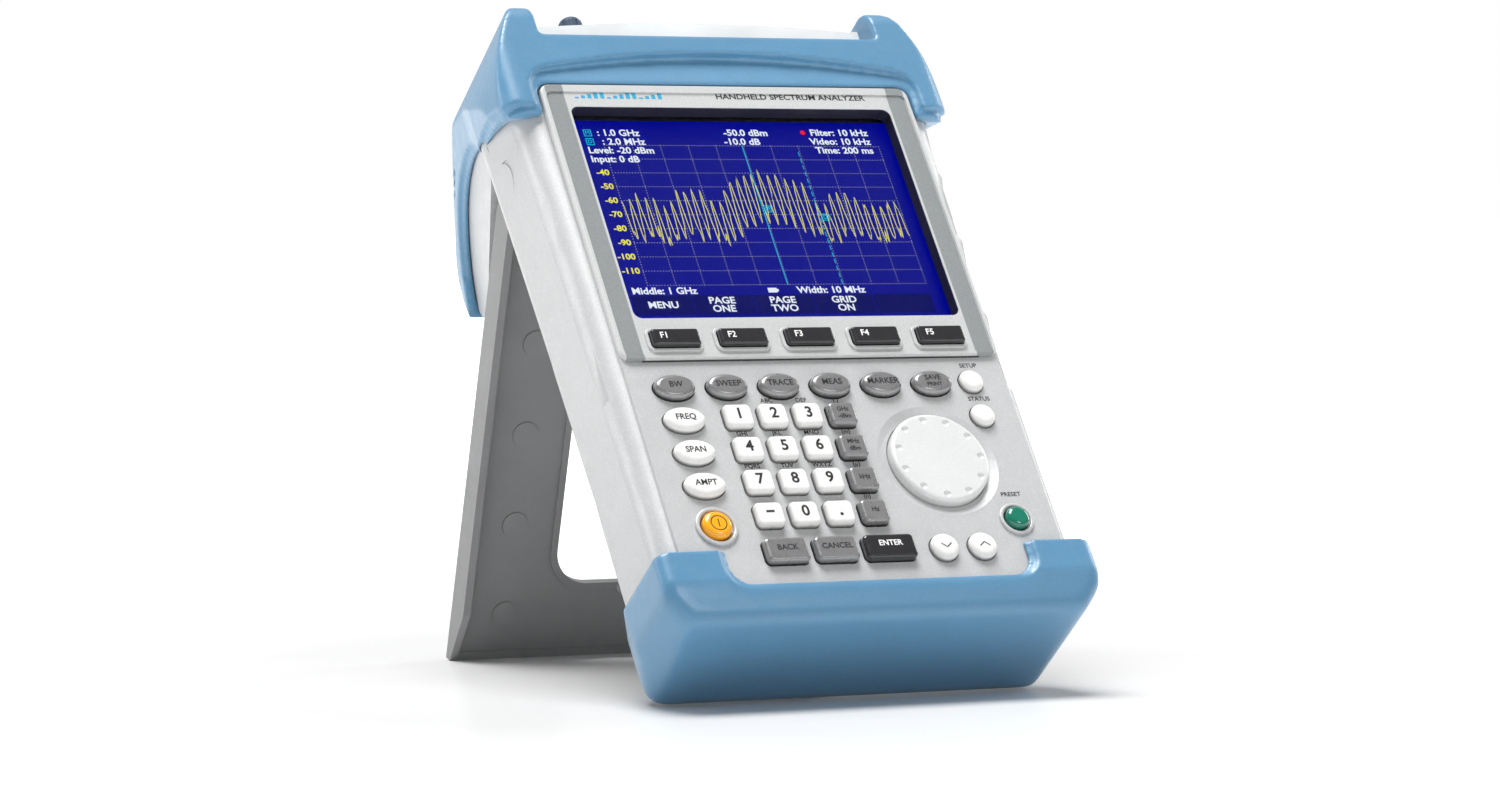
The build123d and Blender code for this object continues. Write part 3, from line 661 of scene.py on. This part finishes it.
# ---- housing ----------------------------------------------------------------------------
@dataclass
class Housing:
    """Shells, screws and the printed legends of the keypad face."""

    finishes: Finishes
    print_height: float = 0.02
    legend_size: float = 1.75
    above_key: float = 7.4
    beside: dict = field(default_factory=lambda: {"key_setup": (1.4, 7.2), "key_status": (1.3, 7.5),
                                                  "key_preset": (1.2, 10.1)})
    legends: dict = field(default_factory=lambda: {
        "key_2": "ABC", "key_3": "DEF", "key_4": "GHI", "key_5": "JKL", "key_6": "MNO",
        "key_7": "PQRS", "key_8": "TUV", "key_9": "WXYZ", "key_ghz": "( )", "key_mhz": "(m)",
        "key_khz": "(μ)", "key_hz": "(n)", "key_setup": "SETUP", "key_status": "STATUS",
        "key_preset": "PRESET"})

    def build(self) -> None:
        """Dress the shells and print the legends above the keys."""
        for node in ("front_shell", "rear_shell", "battery_cover"):
            self.finishes.dress(node, "silver_paint")
        self.finishes.dress("housing_screws", "screw_zinc")
        lines = []
        for node, words in self.legends.items():
            low, high = CASE.extent(node)
            across, rise = self.beside.get(node, (0.4, self.above_key))
            lines.append(Lettering(words, (low.x + high.x) / 2 / MM + across,
                                   (low.y + high.y) / 2 / MM + rise, self.legend_size, weight=0.04))
        mesh = lettering_mesh("face_legends", lines, self.print_height)
        add_piece("face_legends", mesh, self.finishes["ink_dark"])


# ---- keypad -----------------------------------------------------------------------------
class Cap(Enum):
    """Colour family of a key cap, with its finish and its legend's ink."""

    WHITE = ("key_white", "ink_dark")
    GREY = ("key_grey", "ink_dark")
    BLACK = ("key_black", "ink_white")
    AMBER = ("key_amber", "ink_dark")
    GREEN = ("key_green", "ink_dark")


@dataclass(frozen=True)
class KeyStyle:
    """A key's colour family and its legend lines: (words, size, shift across, shift up)."""

    cap: Cap
    lines: tuple = ()
    weight: float = 0.06


def key_styles() -> dict:
    """Every key's style by node name.

    Returns:
        Node name to KeyStyle.
    """
    styles = {f"key_f{i}": KeyStyle(Cap.BLACK, ((f"F{i}", 2.5, -4.4, 0.3),)) for i in range(1, 6)}
    for name in ("bw", "sweep", "trace", "meas", "marker"):
        styles[f"key_{name}"] = KeyStyle(Cap.GREY, ((name.upper(), 2.35, 0.0, 0.2),))
    styles["key_save"] = KeyStyle(Cap.GREY, (("SAVE", 2.1, 0.0, 1.2), ("PRINT", 1.6, 0.0, -1.5)))
    for name in ("freq", "span", "ampt"):
        styles[f"key_{name}"] = KeyStyle(Cap.WHITE, ((name.upper(), 2.35, 0.0, 0.2),))
    for digit in "0123456789":
        styles[f"key_{digit}"] = KeyStyle(Cap.WHITE, ((digit, 4.3, 0.0, 0.3),), 0.14)
    styles["key_minus"] = KeyStyle(Cap.WHITE, (("−", 4.2, 0.0, 0.3),), 0.2)
    styles["key_point"] = KeyStyle(Cap.WHITE, ((".", 4.6, 0.0, 0.3),), 0.25)
    for name, first, second in (("ghz", "GHz", "-dBm"), ("mhz", "MHz", "dBm")):
        styles[f"key_{name}"] = KeyStyle(Cap.GREY, ((first, 1.75, 0.0, 1.4), (second, 1.75, 0.0, -1.4)))
    for name, words in (("khz", "kHz"), ("hz", "Hz")):
        styles[f"key_{name}"] = KeyStyle(Cap.GREY, ((words, 1.9, 0.0, 0.2),))
    for name in ("back", "cancel"):
        styles[f"key_{name}"] = KeyStyle(Cap.GREY, ((name.upper(), 2.2, 0.0, 0.4),))
    styles["key_enter"] = KeyStyle(Cap.BLACK, (("ENTER", 2.2, 0.0, 0.8),))
    for name in ("down", "up", "setup", "status"):
        styles[f"key_{name}"] = KeyStyle(Cap.WHITE)
    styles["key_power"] = KeyStyle(Cap.AMBER)
    styles["key_preset"] = KeyStyle(Cap.GREEN)
    return styles


@dataclass
class Keypad:
    """All keys with their printed legends, the knob, the key mat and its board."""

    finishes: Finishes
    styles: dict = field(default_factory=key_styles)
    lift: float = 0.015
    line_width: float = 0.38

    def chevron(self, direction: float) -> list:
        """Outline of an arrow head pointing down (-1) or up (+1)."""
        half, rise, thick = 1.9 * MM, 1.5 * MM * direction, self.line_width * MM
        tip, foot = rise / 2, -rise / 2
        low_foot, low_tip = foot - thick * 1.3, tip - thick * 1.3
        return [(-half, low_foot), (0, low_tip), (half, low_foot), (half, foot), (0, tip), (-half, foot)]

    def power_symbol(self) -> list:
        """Outlines of a ring with a bar in it."""
        outer, inner, steps = 2.9 * MM, 2.55 * MM, 40
        ring = []
        for i in range(steps):
            start, end = 2 * math.pi * i / steps, 2 * math.pi * (i + 1) / steps
            corners = ((inner, start), (outer, start), (outer, end), (inner, end))
            ring.append([(radius * math.cos(turn), radius * math.sin(turn)) for radius, turn in corners])
        return ring + [rectangle(-0.19, -1.5, 0.19, 1.5)]

    def build(self) -> None:
        """Dress every key and print its legend on its cap."""
        for node, style in self.styles.items():
            finish, ink = style.cap.value
            self.finishes.dress(node, finish)
            low, high = CASE.extent(node)
            across, up, top = (low.x + high.x) / 2 / MM, (low.y + high.y) / 2 / MM, high.z / MM + self.lift
            place = CASE.matrix(across * MM, up * MM, (top + 0.01) * MM)
            mesh = None
            if style.lines:
                lines = [Lettering(words, across + dx, up + dy, size, weight=style.weight, stretch=0.97)
                         for words, size, dx, dy in style.lines]
                mesh = lettering_mesh(node + "_legend", lines, top)
            elif node in ("key_down", "key_up"):
                mesh = flat_mesh(node + "_legend", [self.chevron(1.0 if node == "key_up" else -1.0)], place)
            elif node == "key_power":
                mesh = flat_mesh(node + "_legend", self.power_symbol(), place)
            if mesh:
                add_piece(node + "_legend", mesh, self.finishes[ink], node)
        self.finishes.dress("knob", "knob_satin")
        self.finishes.dress("keypad_mat", "mat_silicone")
        self.finishes.dress("keypad_board", "board_green")
        self.finishes.dress("rotary_encoder", "shield_tin")


# ---- display ----------------------------------------------------------------------------
@dataclass
class Display:
    """Recessed screen: bezel, pane, panel and the picture it shows."""

    finishes: Finishes
    left: float = -49.0
    right: float = 56.1
    foot: float = 140.3
    top: float = 199.9
    columns: int = 10
    rows: int = 10
    top_level: float = -20.0
    level_step: float = -10.0
    dot: float = 0.32
    dot_pitch: float = 1.05
    glass_gap: float = 0.03
    lit_top: float = 210.4
    word_left: float = -55.5
    word_right: float = 53.4
    word_size: float = 2.85

    def level(self, value: float) -> float:
        """Height on the screen of a level in decibels, in millimetres."""
        return self.top - (self.top_level - value) / (-self.level_step * self.rows) * (self.top - self.foot)

    def graticule(self, depth: float) -> None:
        """Dotted grid, grown as two grids of small squares."""
        wide, tall = (self.right - self.left) * MM, (self.top - self.foot) * MM
        growth = GrowthTree("graticule_dots", {
            "Width": ("NodeSocketFloat", wide), "Height": ("NodeSocketFloat", tall),
            "Columns": ("NodeSocketInt", self.columns), "Rows": ("NodeSocketInt", self.rows),
            "Dot": ("NodeSocketFloat", self.dot * MM), "Pitch": ("NodeSocketFloat", self.dot_pitch * MM)})
        i = growth.inputs
        square = growth.node("GeometryNodeMeshGrid", Size_X=i["Dot"], Size_Y=i["Dot"],
                             Vertices_X=2, Vertices_Y=2)
        layers = []
        for along_rows in (True, False):
            across_count = growth.math("DIVIDE", i["Width"], i["Pitch"]) if along_rows else growth.math(
                "ADD", i["Columns"], 1)
            up_count = growth.math("ADD", i["Rows"], 1) if along_rows else growth.math(
                "DIVIDE", i["Height"], i["Pitch"])
            grid = growth.node("GeometryNodeMeshGrid", Size_X=i["Width"], Size_Y=i["Height"],
                               Vertices_X=across_count, Vertices_Y=up_count)
            spots = growth.node("GeometryNodeInstanceOnPoints", Points=grid.outputs["Mesh"],
                                Instance=square.outputs["Mesh"])
            layers.append(spots.outputs[0])
        middle = CASE.matrix((self.left + self.right) / 2 * MM, (self.foot + self.top) / 2 * MM, depth * MM)
        mesh = growth.grow("screen_graticule", growth.join(*layers), self.finishes["lcd_dots"], middle)
        add_piece("screen_graticule", mesh, self.finishes["lcd_dots"])

    def trace(self, depth: float) -> None:
        """Spectrum trace: a fine comb under a lobed envelope, grown along a line by rule."""
        wide = (self.right - self.left) * MM
        scale = (self.top - self.foot) / (self.rows * -self.level_step) * MM
        growth = GrowthTree("spectrum_trace", {
            "Width": ("NodeSocketFloat", wide), "Samples": ("NodeSocketInt", 640),
            "Lobe": ("NodeSocketFloat", 19.9 * MM), "Comb": ("NodeSocketFloat", 3.05 * MM),
            "Decibel": ("NodeSocketFloat", scale), "Swing": ("NodeSocketFloat", 34.0),
            "Floor": ("NodeSocketFloat", -66.0), "Thickness": ("NodeSocketFloat", 0.13 * MM)})
        i = growth.inputs
        m = growth.math
        line = growth.node("GeometryNodeMeshLine", Count=i["Samples"])
        half = m("MULTIPLY", i["Width"], -0.5)
        number = growth.node("GeometryNodeInputIndex").outputs[0]
        step = m("DIVIDE", i["Width"], m("SUBTRACT", i["Samples"], 1))
        x = m("ADD", half, m("MULTIPLY", number, step))
        offset = m("ADD", x, -2.3 * MM)
        ratio = m("DIVIDE", m("ABSOLUTE", offset), i["Lobe"])
        turn = m("ADD", m("MULTIPLY", ratio, math.pi), 0.001)
        sinc = m("ABSOLUTE", m("DIVIDE", m("SINE", turn), turn))
        envelope = m("MULTIPLY", m("LOGARITHM", m("ADD", sinc, 0.004), 10.0), 20.0)
        envelope = m("MAXIMUM", m("MULTIPLY", envelope, 0.98), -26.0)
        noise = growth.node("ShaderNodeTexNoise", Scale=1.0, Detail=3.0)
        noise.noise_dimensions = "1D"
        growth.tree.links.new(m("MULTIPLY", number, 0.21), noise.inputs["W"])
        shake = m("MULTIPLY", m("SUBTRACT", noise.outputs[0], 0.5), 24.0)
        comb = m("COSINE", m("MULTIPLY", m("DIVIDE", offset, i["Comb"]), 2 * math.pi))
        comb = m("MULTIPLY", m("SUBTRACT", comb, 1.0), 0.5)
        depthless = m("ADD", m("MULTIPLY", comb, i["Swing"]), envelope)
        value = m("ADD", depthless, shake)
        valley = m("ADD", m("MULTIPLY", shake, 1.2), -38.0)
        value = m("MAXIMUM", value, m("ADD", m("MULTIPLY", envelope, 0.35), valley))
        value = m("MAXIMUM", value, i["Floor"])
        y = m("MULTIPLY", value, i["Decibel"])
        spot = growth.node("ShaderNodeCombineXYZ", X=x, Y=y)
        moved = growth.node("GeometryNodeSetPosition", Geometry=line.outputs[0], Position=spot.outputs[0])
        path = growth.node("GeometryNodeMeshToCurve", Mesh=moved.outputs[0])
        profile = growth.node("GeometryNodeCurvePrimitiveCircle", Resolution=4, Radius=i["Thickness"])
        ribbon = growth.node("GeometryNodeCurveToMesh", Curve=path.outputs[0],
                             Profile_Curve=profile.outputs[0])
        flatten = Matrix.Diagonal((1.0, 1.0, 0.12, 1.0))
        middle = CASE.matrix((self.left + self.right) / 2 * MM, self.level(-41.0) * MM, depth * MM)
        mesh = growth.grow("screen_trace", ribbon.outputs[0], self.finishes["lcd_yellow"], middle @ flatten)
        add_piece("screen_trace", mesh, self.finishes["lcd_yellow"])

    def readings(self) -> list:
        """White readings round the graticule and the names in the menu bar."""
        left, middle, right = self.word_left, 6.0, self.word_right
        menu_low, menu_high = 130.3, 133.7
        lines = [
            (": 1.0 GHz", -50.3, 205.1, Align.LEFT), (": 2.0 MHz", -49.3, 201.3, Align.LEFT),
            ("Level: -20 dBm", left, 197.5, Align.LEFT), ("Input: 0 dB", left, 193.7, Align.LEFT),
            ("-50.0 dBm", middle, 205.5, Align.CENTRE), ("-10.0 dB", 3.6, 201.6, Align.CENTRE),
            ("Filter: 10 kHz", right, 205.8, Align.RIGHT), ("Video: 10 kHz", right, 201.9, Align.RIGHT),
            ("Time: 200 ms", right, 198.0, Align.RIGHT), ("Middle: 1 GHz", left, 137.8, Align.LEFT),
            ("Width: 10 MHz", middle, 137.8, Align.LEFT), ("MENU", -45.4, 132.0, Align.CENTRE),
            ("PAGE", -23.4, menu_high, Align.CENTRE), ("ONE", -23.4, menu_low, Align.CENTRE),
            ("PAGE", -0.7, menu_high, Align.CENTRE), ("TWO", -0.7, menu_low, Align.CENTRE),
            ("GRID", 22.5, menu_high, Align.CENTRE), ("ON", 22.5, menu_low, Align.CENTRE),
        ]
        return [Lettering(words, across, up, self.word_size, align, 0.1, 1.06)
                for words, across, up, align in lines]

    def marker_strips(self) -> list:
        """The full and the dashed marker line and the four marker frames."""
        strips = [rectangle(2.95, self.foot, 3.2, self.top)]
        dash, gap = 1.9, 1.0
        up = self.foot
        while up + dash < self.top:
            strips.append(rectangle(23.8, up, 24.05, up + dash))
            up += dash + gap
        for across, height in self.marker_spots():
            strips += self.frame_outlines(across, height, 1.45, 0.28)
        return strips

    def marker_spots(self) -> tuple:
        """Middles of the markers: two beside the readings, two on the trace."""
        return (-53.8, 205.1), (-53.8, 201.3), (5.0, self.level(-66.0)), (26.0, self.level(-72.0))

    def readouts(self, depth: float) -> None:
        """White, yellow and cyan readouts, the menu bar and the two markers."""
        place = CASE.matrix(0, 0, (depth + 0.005) * MM)
        below = CASE.matrix(0, 0, (depth - 0.02) * MM)
        self.draw("screen_words", lettering_mesh("screen_words", self.readings(), depth, 0.01), "lcd_white")
        levels = [Lettering(f"{level}", -50.2, self.level(level), 2.5, Align.RIGHT, 0.08, 1.08)
                  for level in range(-110, -30, 10)]
        self.draw("screen_levels", lettering_mesh("screen_levels", levels, depth, 0.01), "lcd_yellow")
        cell = [rectangle(-5.0, 136.9, -1.6, 138.9), rectangle(-1.6, 137.4, -1.0, 138.4)]
        self.draw("screen_battery_sign", flat_mesh("screen_battery_sign", cell, place), "lcd_white")
        self.draw("screen_markers", flat_mesh("screen_markers", self.marker_strips(), place), "lcd_cyan")
        signs = [Lettering(sign, across, up, 1.7) for sign, (across, up) in zip("MDMD", self.marker_spots())]
        self.draw("screen_marker_names", lettering_mesh("screen_marker_names", signs, depth, 0.01), "lcd_cyan")
        dot = [(28.2 * MM + 1.0 * MM * math.cos(turn), 205.9 * MM + 0.95 * MM * math.sin(turn))
               for turn in [2 * math.pi * i / 24 for i in range(24)]]
        self.draw("screen_alarm_dot", flat_mesh("screen_alarm_dot", [dot], place), "lcd_red")
        rim = [rectangle(-64.0, self.lit_top, 64.0, 214.5)]
        self.draw("screen_mask", flat_mesh("screen_mask", rim, below), "ink_dark")
        step, slit = 22.6, 0.35
        bars = [rectangle(-56.5 + step * i, 128.0, -56.5 + step * (i + 1) - slit, 135.9) for i in range(5)]
        self.draw("screen_menu_bar", flat_mesh("screen_menu_bar", bars, below), "lcd_bar")

    def draw(self, name: str, mesh: bpy.types.Mesh, finish: str) -> None:
        """Add one lit piece of the screen's picture.

        Args:
            name: the piece's name.
            mesh: its mesh, in place.
            finish: its finish's name.
        """
        add_piece(name, mesh, self.finishes[finish])

    @staticmethod
    def frame_outlines(across: float, up: float, half: float, line: float) -> list:
        """Four strips of a small square frame, in millimetres."""
        return [rectangle(across - half, up - half, across + half, up - half + line),
                rectangle(across - half, up + half - line, across + half, up + half),
                rectangle(across - half, up - half + line, across - half + line, up + half - line),
                rectangle(across + half - line, up - half + line, across + half, up + half - line)]

    def header(self) -> None:
        """Plain generic title and ornament on the surround, above the screen."""
        low, high = CASE.extent("display_bezel")
        depth = high.z / MM - 0.5 - 0.3 + 0.02
        lines = [Lettering("HANDHELD SPECTRUM ANALYZER", 24.0, 216.3, 2.35, weight=0.07, stretch=1.15)]
        title = lettering_mesh("surround_title", lines, depth)
        add_piece("surround_title", title, self.finishes["ink_dark"])
        place = CASE.matrix(0, 0, (depth + 0.02) * MM)
        bars = [rectangle(-58.0 + 2.4 * i, 215.0, -58.0 + 2.4 * i + 1.5, 215.0 + 0.65 * (i % 5 + 1))
                for i in range(14)]
        add_piece("surround_mark", flat_mesh("surround_mark", bars, place), self.finishes["ink_cyan"])

    def build(self) -> None:
        """Dress the display's nodes and draw its picture just under the pane."""
        self.finishes.dress("display_bezel", "bezel_satin")
        self.finishes.dress("display_window", "window_clear")
        self.finishes.dress("lcd_panel", "lcd_blue")
        face = CASE.extent("lcd_panel")[1].z / MM
        self.graticule(face + self.glass_gap)
        self.trace(face + self.glass_gap + 0.03)
        self.readouts(face + self.glass_gap + 0.06)
        self.header()


# ---- connector bay, stand and inside ----------------------------------------------------
@dataclass
class ConnectorBay:
    """Tray, ports with their threads, sockets and the ribbed dust cap."""

    finishes: Finishes
    thread_radius: float = 7.9
    thread_pitch: float = 1.06
    port_across: float = 27.0
    port_depth: float = -48.0
    thread_foot: float = 252.2
    thread_top: float = 261.4

    def thread(self, sign: int) -> None:
        """Helical thread round one port's barrel."""
        rise = (self.thread_top - self.thread_foot) * MM
        growth = GrowthTree(f"port_thread_{'left' if sign < 0 else 'right'}", {
            "Radius": ("NodeSocketFloat", (self.thread_radius - 0.12) * MM),
            "Rise": ("NodeSocketFloat", rise), "Ridge": ("NodeSocketFloat", 0.27 * MM),
            "Turns": ("NodeSocketFloat", rise / MM / self.thread_pitch)})
        i = growth.inputs
        helix = growth.node("GeometryNodeCurveSpiral", Resolution=40, Rotations=i["Turns"],
                            Start_Radius=i["Radius"], End_Radius=i["Radius"], Height=i["Rise"])
        ridge = growth.node("GeometryNodeCurvePrimitiveCircle", Resolution=6, Radius=i["Ridge"])
        mesh_node = growth.node("GeometryNodeCurveToMesh", Curve=helix.outputs[0],
                                Profile_Curve=ridge.outputs[0], Fill_Caps=True)
        name = growth.tree.name
        upright = Matrix.Rotation(math.radians(-90), 4, "X")
        place = CASE.matrix(sign * self.port_across * MM, self.thread_foot * MM, self.port_depth * MM)
        mesh = growth.grow(name, mesh_node.outputs[0], self.finishes["port_nickel"], place @ upright)
        add_piece(name, mesh, self.finishes["port_nickel"])

    def cap_ribs(self) -> None:
        """Grip ribs round the dust cap."""
        low, high = CASE.extent("dust_cap")
        centre = (low + high) / 2
        growth = GrowthTree("cap_ribs", {
            "Count": ("NodeSocketInt", 16), "Radius": ("NodeSocketFloat", 4.05 * MM),
            "Width": ("NodeSocketFloat", 0.7 * MM), "Length": ("NodeSocketFloat", 5.0 * MM)})
        i = growth.inputs
        ring = growth.node("GeometryNodeMeshCircle", Vertices=i["Count"], Radius=i["Radius"])
        half = growth.math("MULTIPLY", i["Width"], 0.5)
        rib = growth.node("GeometryNodeMeshCylinder", Vertices=8, Radius=half, Depth=i["Length"])
        spots = growth.node("GeometryNodeInstanceOnPoints", Points=ring.outputs[0],
                            Instance=rib.outputs["Mesh"])
        upright = Matrix.Rotation(math.radians(-90), 4, "X")
        place = CASE.matrix(centre.x, high.y - 4.6 * MM, centre.z)
        mesh = growth.grow("cap_ribs", spots.outputs[0], self.finishes["cap_rubber"], place @ upright)
        add_piece("cap_ribs", mesh, self.finishes["cap_rubber"], "dust_cap")

    def build(self) -> None:
        """Dress the bay's nodes and add threads and ribs."""
        self.finishes.dress("connector_panel", "panel_grey")
        self.finishes.dress("rf_connectors", "port_nickel")
        self.finishes.dress("aux_sockets", "screw_zinc")
        self.finishes.dress("dust_cap", "cap_rubber")
        for sign in (-1, 1):
            self.thread(sign)
        self.cap_ribs()


@dataclass
class StandAndInside:
    """The fold-out stand and the pieces inside the case."""

    finishes: Finishes
    inside: dict = field(default_factory=lambda: {
        "main_board": "board_green", "rf_module": "shield_tin", "battery_pack": "battery_wrap"})

    def build(self) -> None:
        """Dress the stand and the inner nodes."""
        self.finishes.dress("stand", "stand_grey_painted_shade")
        for node, finish in self.inside.items():
            self.finishes.dress(node, finish)


# ---- studio -----------------------------------------------------------------------------
@dataclass
class Studio:
    """Pale floor, soft lights and the camera."""

    camera_from_case: tuple = (-0.70828, -1.37648, 0.13389)
    azimuth: float = 25.439
    tilt: float = -2.279
    lens: float = 115.2
    ambient: float = 0.30
    overhead_power: float = 4.3
    overhead_spread: float = 35.0
    overhead_from: tuple = (-0.12, 0.1, 0.98)
    floor_half: float = 60.0

    def camera(self) -> None:
        """Long-lens camera low in front and to the left."""
        data = bpy.data.cameras.new("camera")
        data.lens = self.lens
        data.sensor_width = 36.0
        data.clip_start = 0.05
        data.clip_end = 200.0
        camera = bpy.data.objects.new("camera", data)
        camera.location = CASE.origin + Vector(self.camera_from_case)
        camera.rotation_euler = (math.radians(90 + self.tilt), 0.0, math.radians(-self.azimuth))
        bpy.context.scene.collection.objects.link(camera)
        bpy.context.scene.camera = camera

    def light(self, name: str, spot: tuple, aim: tuple, size: tuple, power: float) -> None:
        """One soft area light.

        Args:
            name: the light's name.
            spot: its place in metres.
            aim: the point it faces.
            size: width and height in metres.
            power: watts.
        """
        data = bpy.data.lights.new(name, "AREA")
        data.shape = "RECTANGLE"
        data.size, data.size_y = size
        data.energy = power
        lamp = bpy.data.objects.new(name, data)
        lamp.location = spot
        lamp.rotation_euler = (Vector(aim) - Vector(spot)).to_track_quat("-Z", "Y").to_euler()
        bpy.context.scene.collection.objects.link(lamp)

    def overhead(self) -> None:
        """Very soft light from high above and a little to the left."""
        data = bpy.data.lights.new("overhead", "SUN")
        data.energy = self.overhead_power
        data.angle = math.radians(self.overhead_spread)
        lamp = bpy.data.objects.new("overhead", data)
        lamp.rotation_euler = Vector(self.overhead_from).to_track_quat("Z", "Y").to_euler()
        bpy.context.scene.collection.objects.link(lamp)

    def floor(self) -> None:
        """Wide pale floor with a faint gloss."""
        sketch = ShaderSketch("floor_white")
        rough = sketch.ramp(sketch.noise(3.0, 3.0), 0.3, 0.7, 0.22, 0.26)
        far = sketch.distance()
        glow = sketch.ramp(far, 0.18, 1.3, 0.0, 1.0)
        sketch.set(Base_Color=(0.8, 0.8, 0.8), Roughness=rough, Specular_IOR_Level=0.5,
                   Emission_Color=(1.0, 1.0, 1.0), Emission_Strength=glow)
        half = self.floor_half
        mesh = bpy.data.meshes.new("floor")
        mesh.from_pydata([(-half, -half, 0), (half, -half, 0), (half, half, 0), (-half, half, 0)], [],
                         [(0, 1, 2, 3)])
        mesh.materials.append(sketch.material)
        floor = bpy.data.objects.new("floor", mesh)
        bpy.context.scene.collection.objects.link(floor)

    def sky(self) -> None:
        """White surroundings that show bright but light the object softly."""
        world = bpy.data.worlds.new("studio")
        world.use_nodes = True
        tree = world.node_tree
        soft = tree.nodes["Background"]
        soft.inputs["Color"].default_value = (1.0, 1.0, 1.0, 1.0)
        soft.inputs["Strength"].default_value = self.ambient
        bright = tree.nodes.new("ShaderNodeBackground")
        bright.inputs["Strength"].default_value = 1.0
        seen = tree.nodes.new("ShaderNodeLightPath")
        mix = tree.nodes.new("ShaderNodeMixShader")
        tree.links.new(seen.outputs["Is Camera Ray"], mix.inputs["Fac"])
        tree.links.new(soft.outputs["Background"], mix.inputs[1])
        tree.links.new(bright.outputs["Background"], mix.inputs[2])
        tree.links.new(mix.outputs["Shader"], tree.nodes["World Output"].inputs["Surface"])
        bright.inputs["Color"].default_value = (1.0, 1.0, 1.0, 1.0)
        bpy.context.scene.world = world

    def build(self) -> None:
        """Set the stage."""
        self.camera()
        self.floor()
        self.sky()
        self.overhead()
        self.light("side", (-1.5, 1.0, 0.75), (0, 0, 0.12), (0.5, 0.9), 6)
        self.light("rim", (1.5, 0.3, 0.7), (0, 0, 0.12), (0.3, 0.9), 7)
        self.light("front", (0.5, -1.7, 0.9), (0, 0, 0.1), (0.5, 0.4), 5)
        bpy.context.scene.view_settings.view_transform = "Standard"


def main() -> None:
    """Build the analyzer's looks around its frame, in order."""
    logging.basicConfig(level=logging.INFO, format="%(name)s %(message)s")
    Studio().build()
    finishes = Finishes()
    for part in (Housing(finishes), Bumpers(finishes), Keypad(finishes), Display(finishes),
                 ConnectorBay(finishes), StandAndInside(finishes)):
        part.build()


if __name__ == "__main__":
    main()
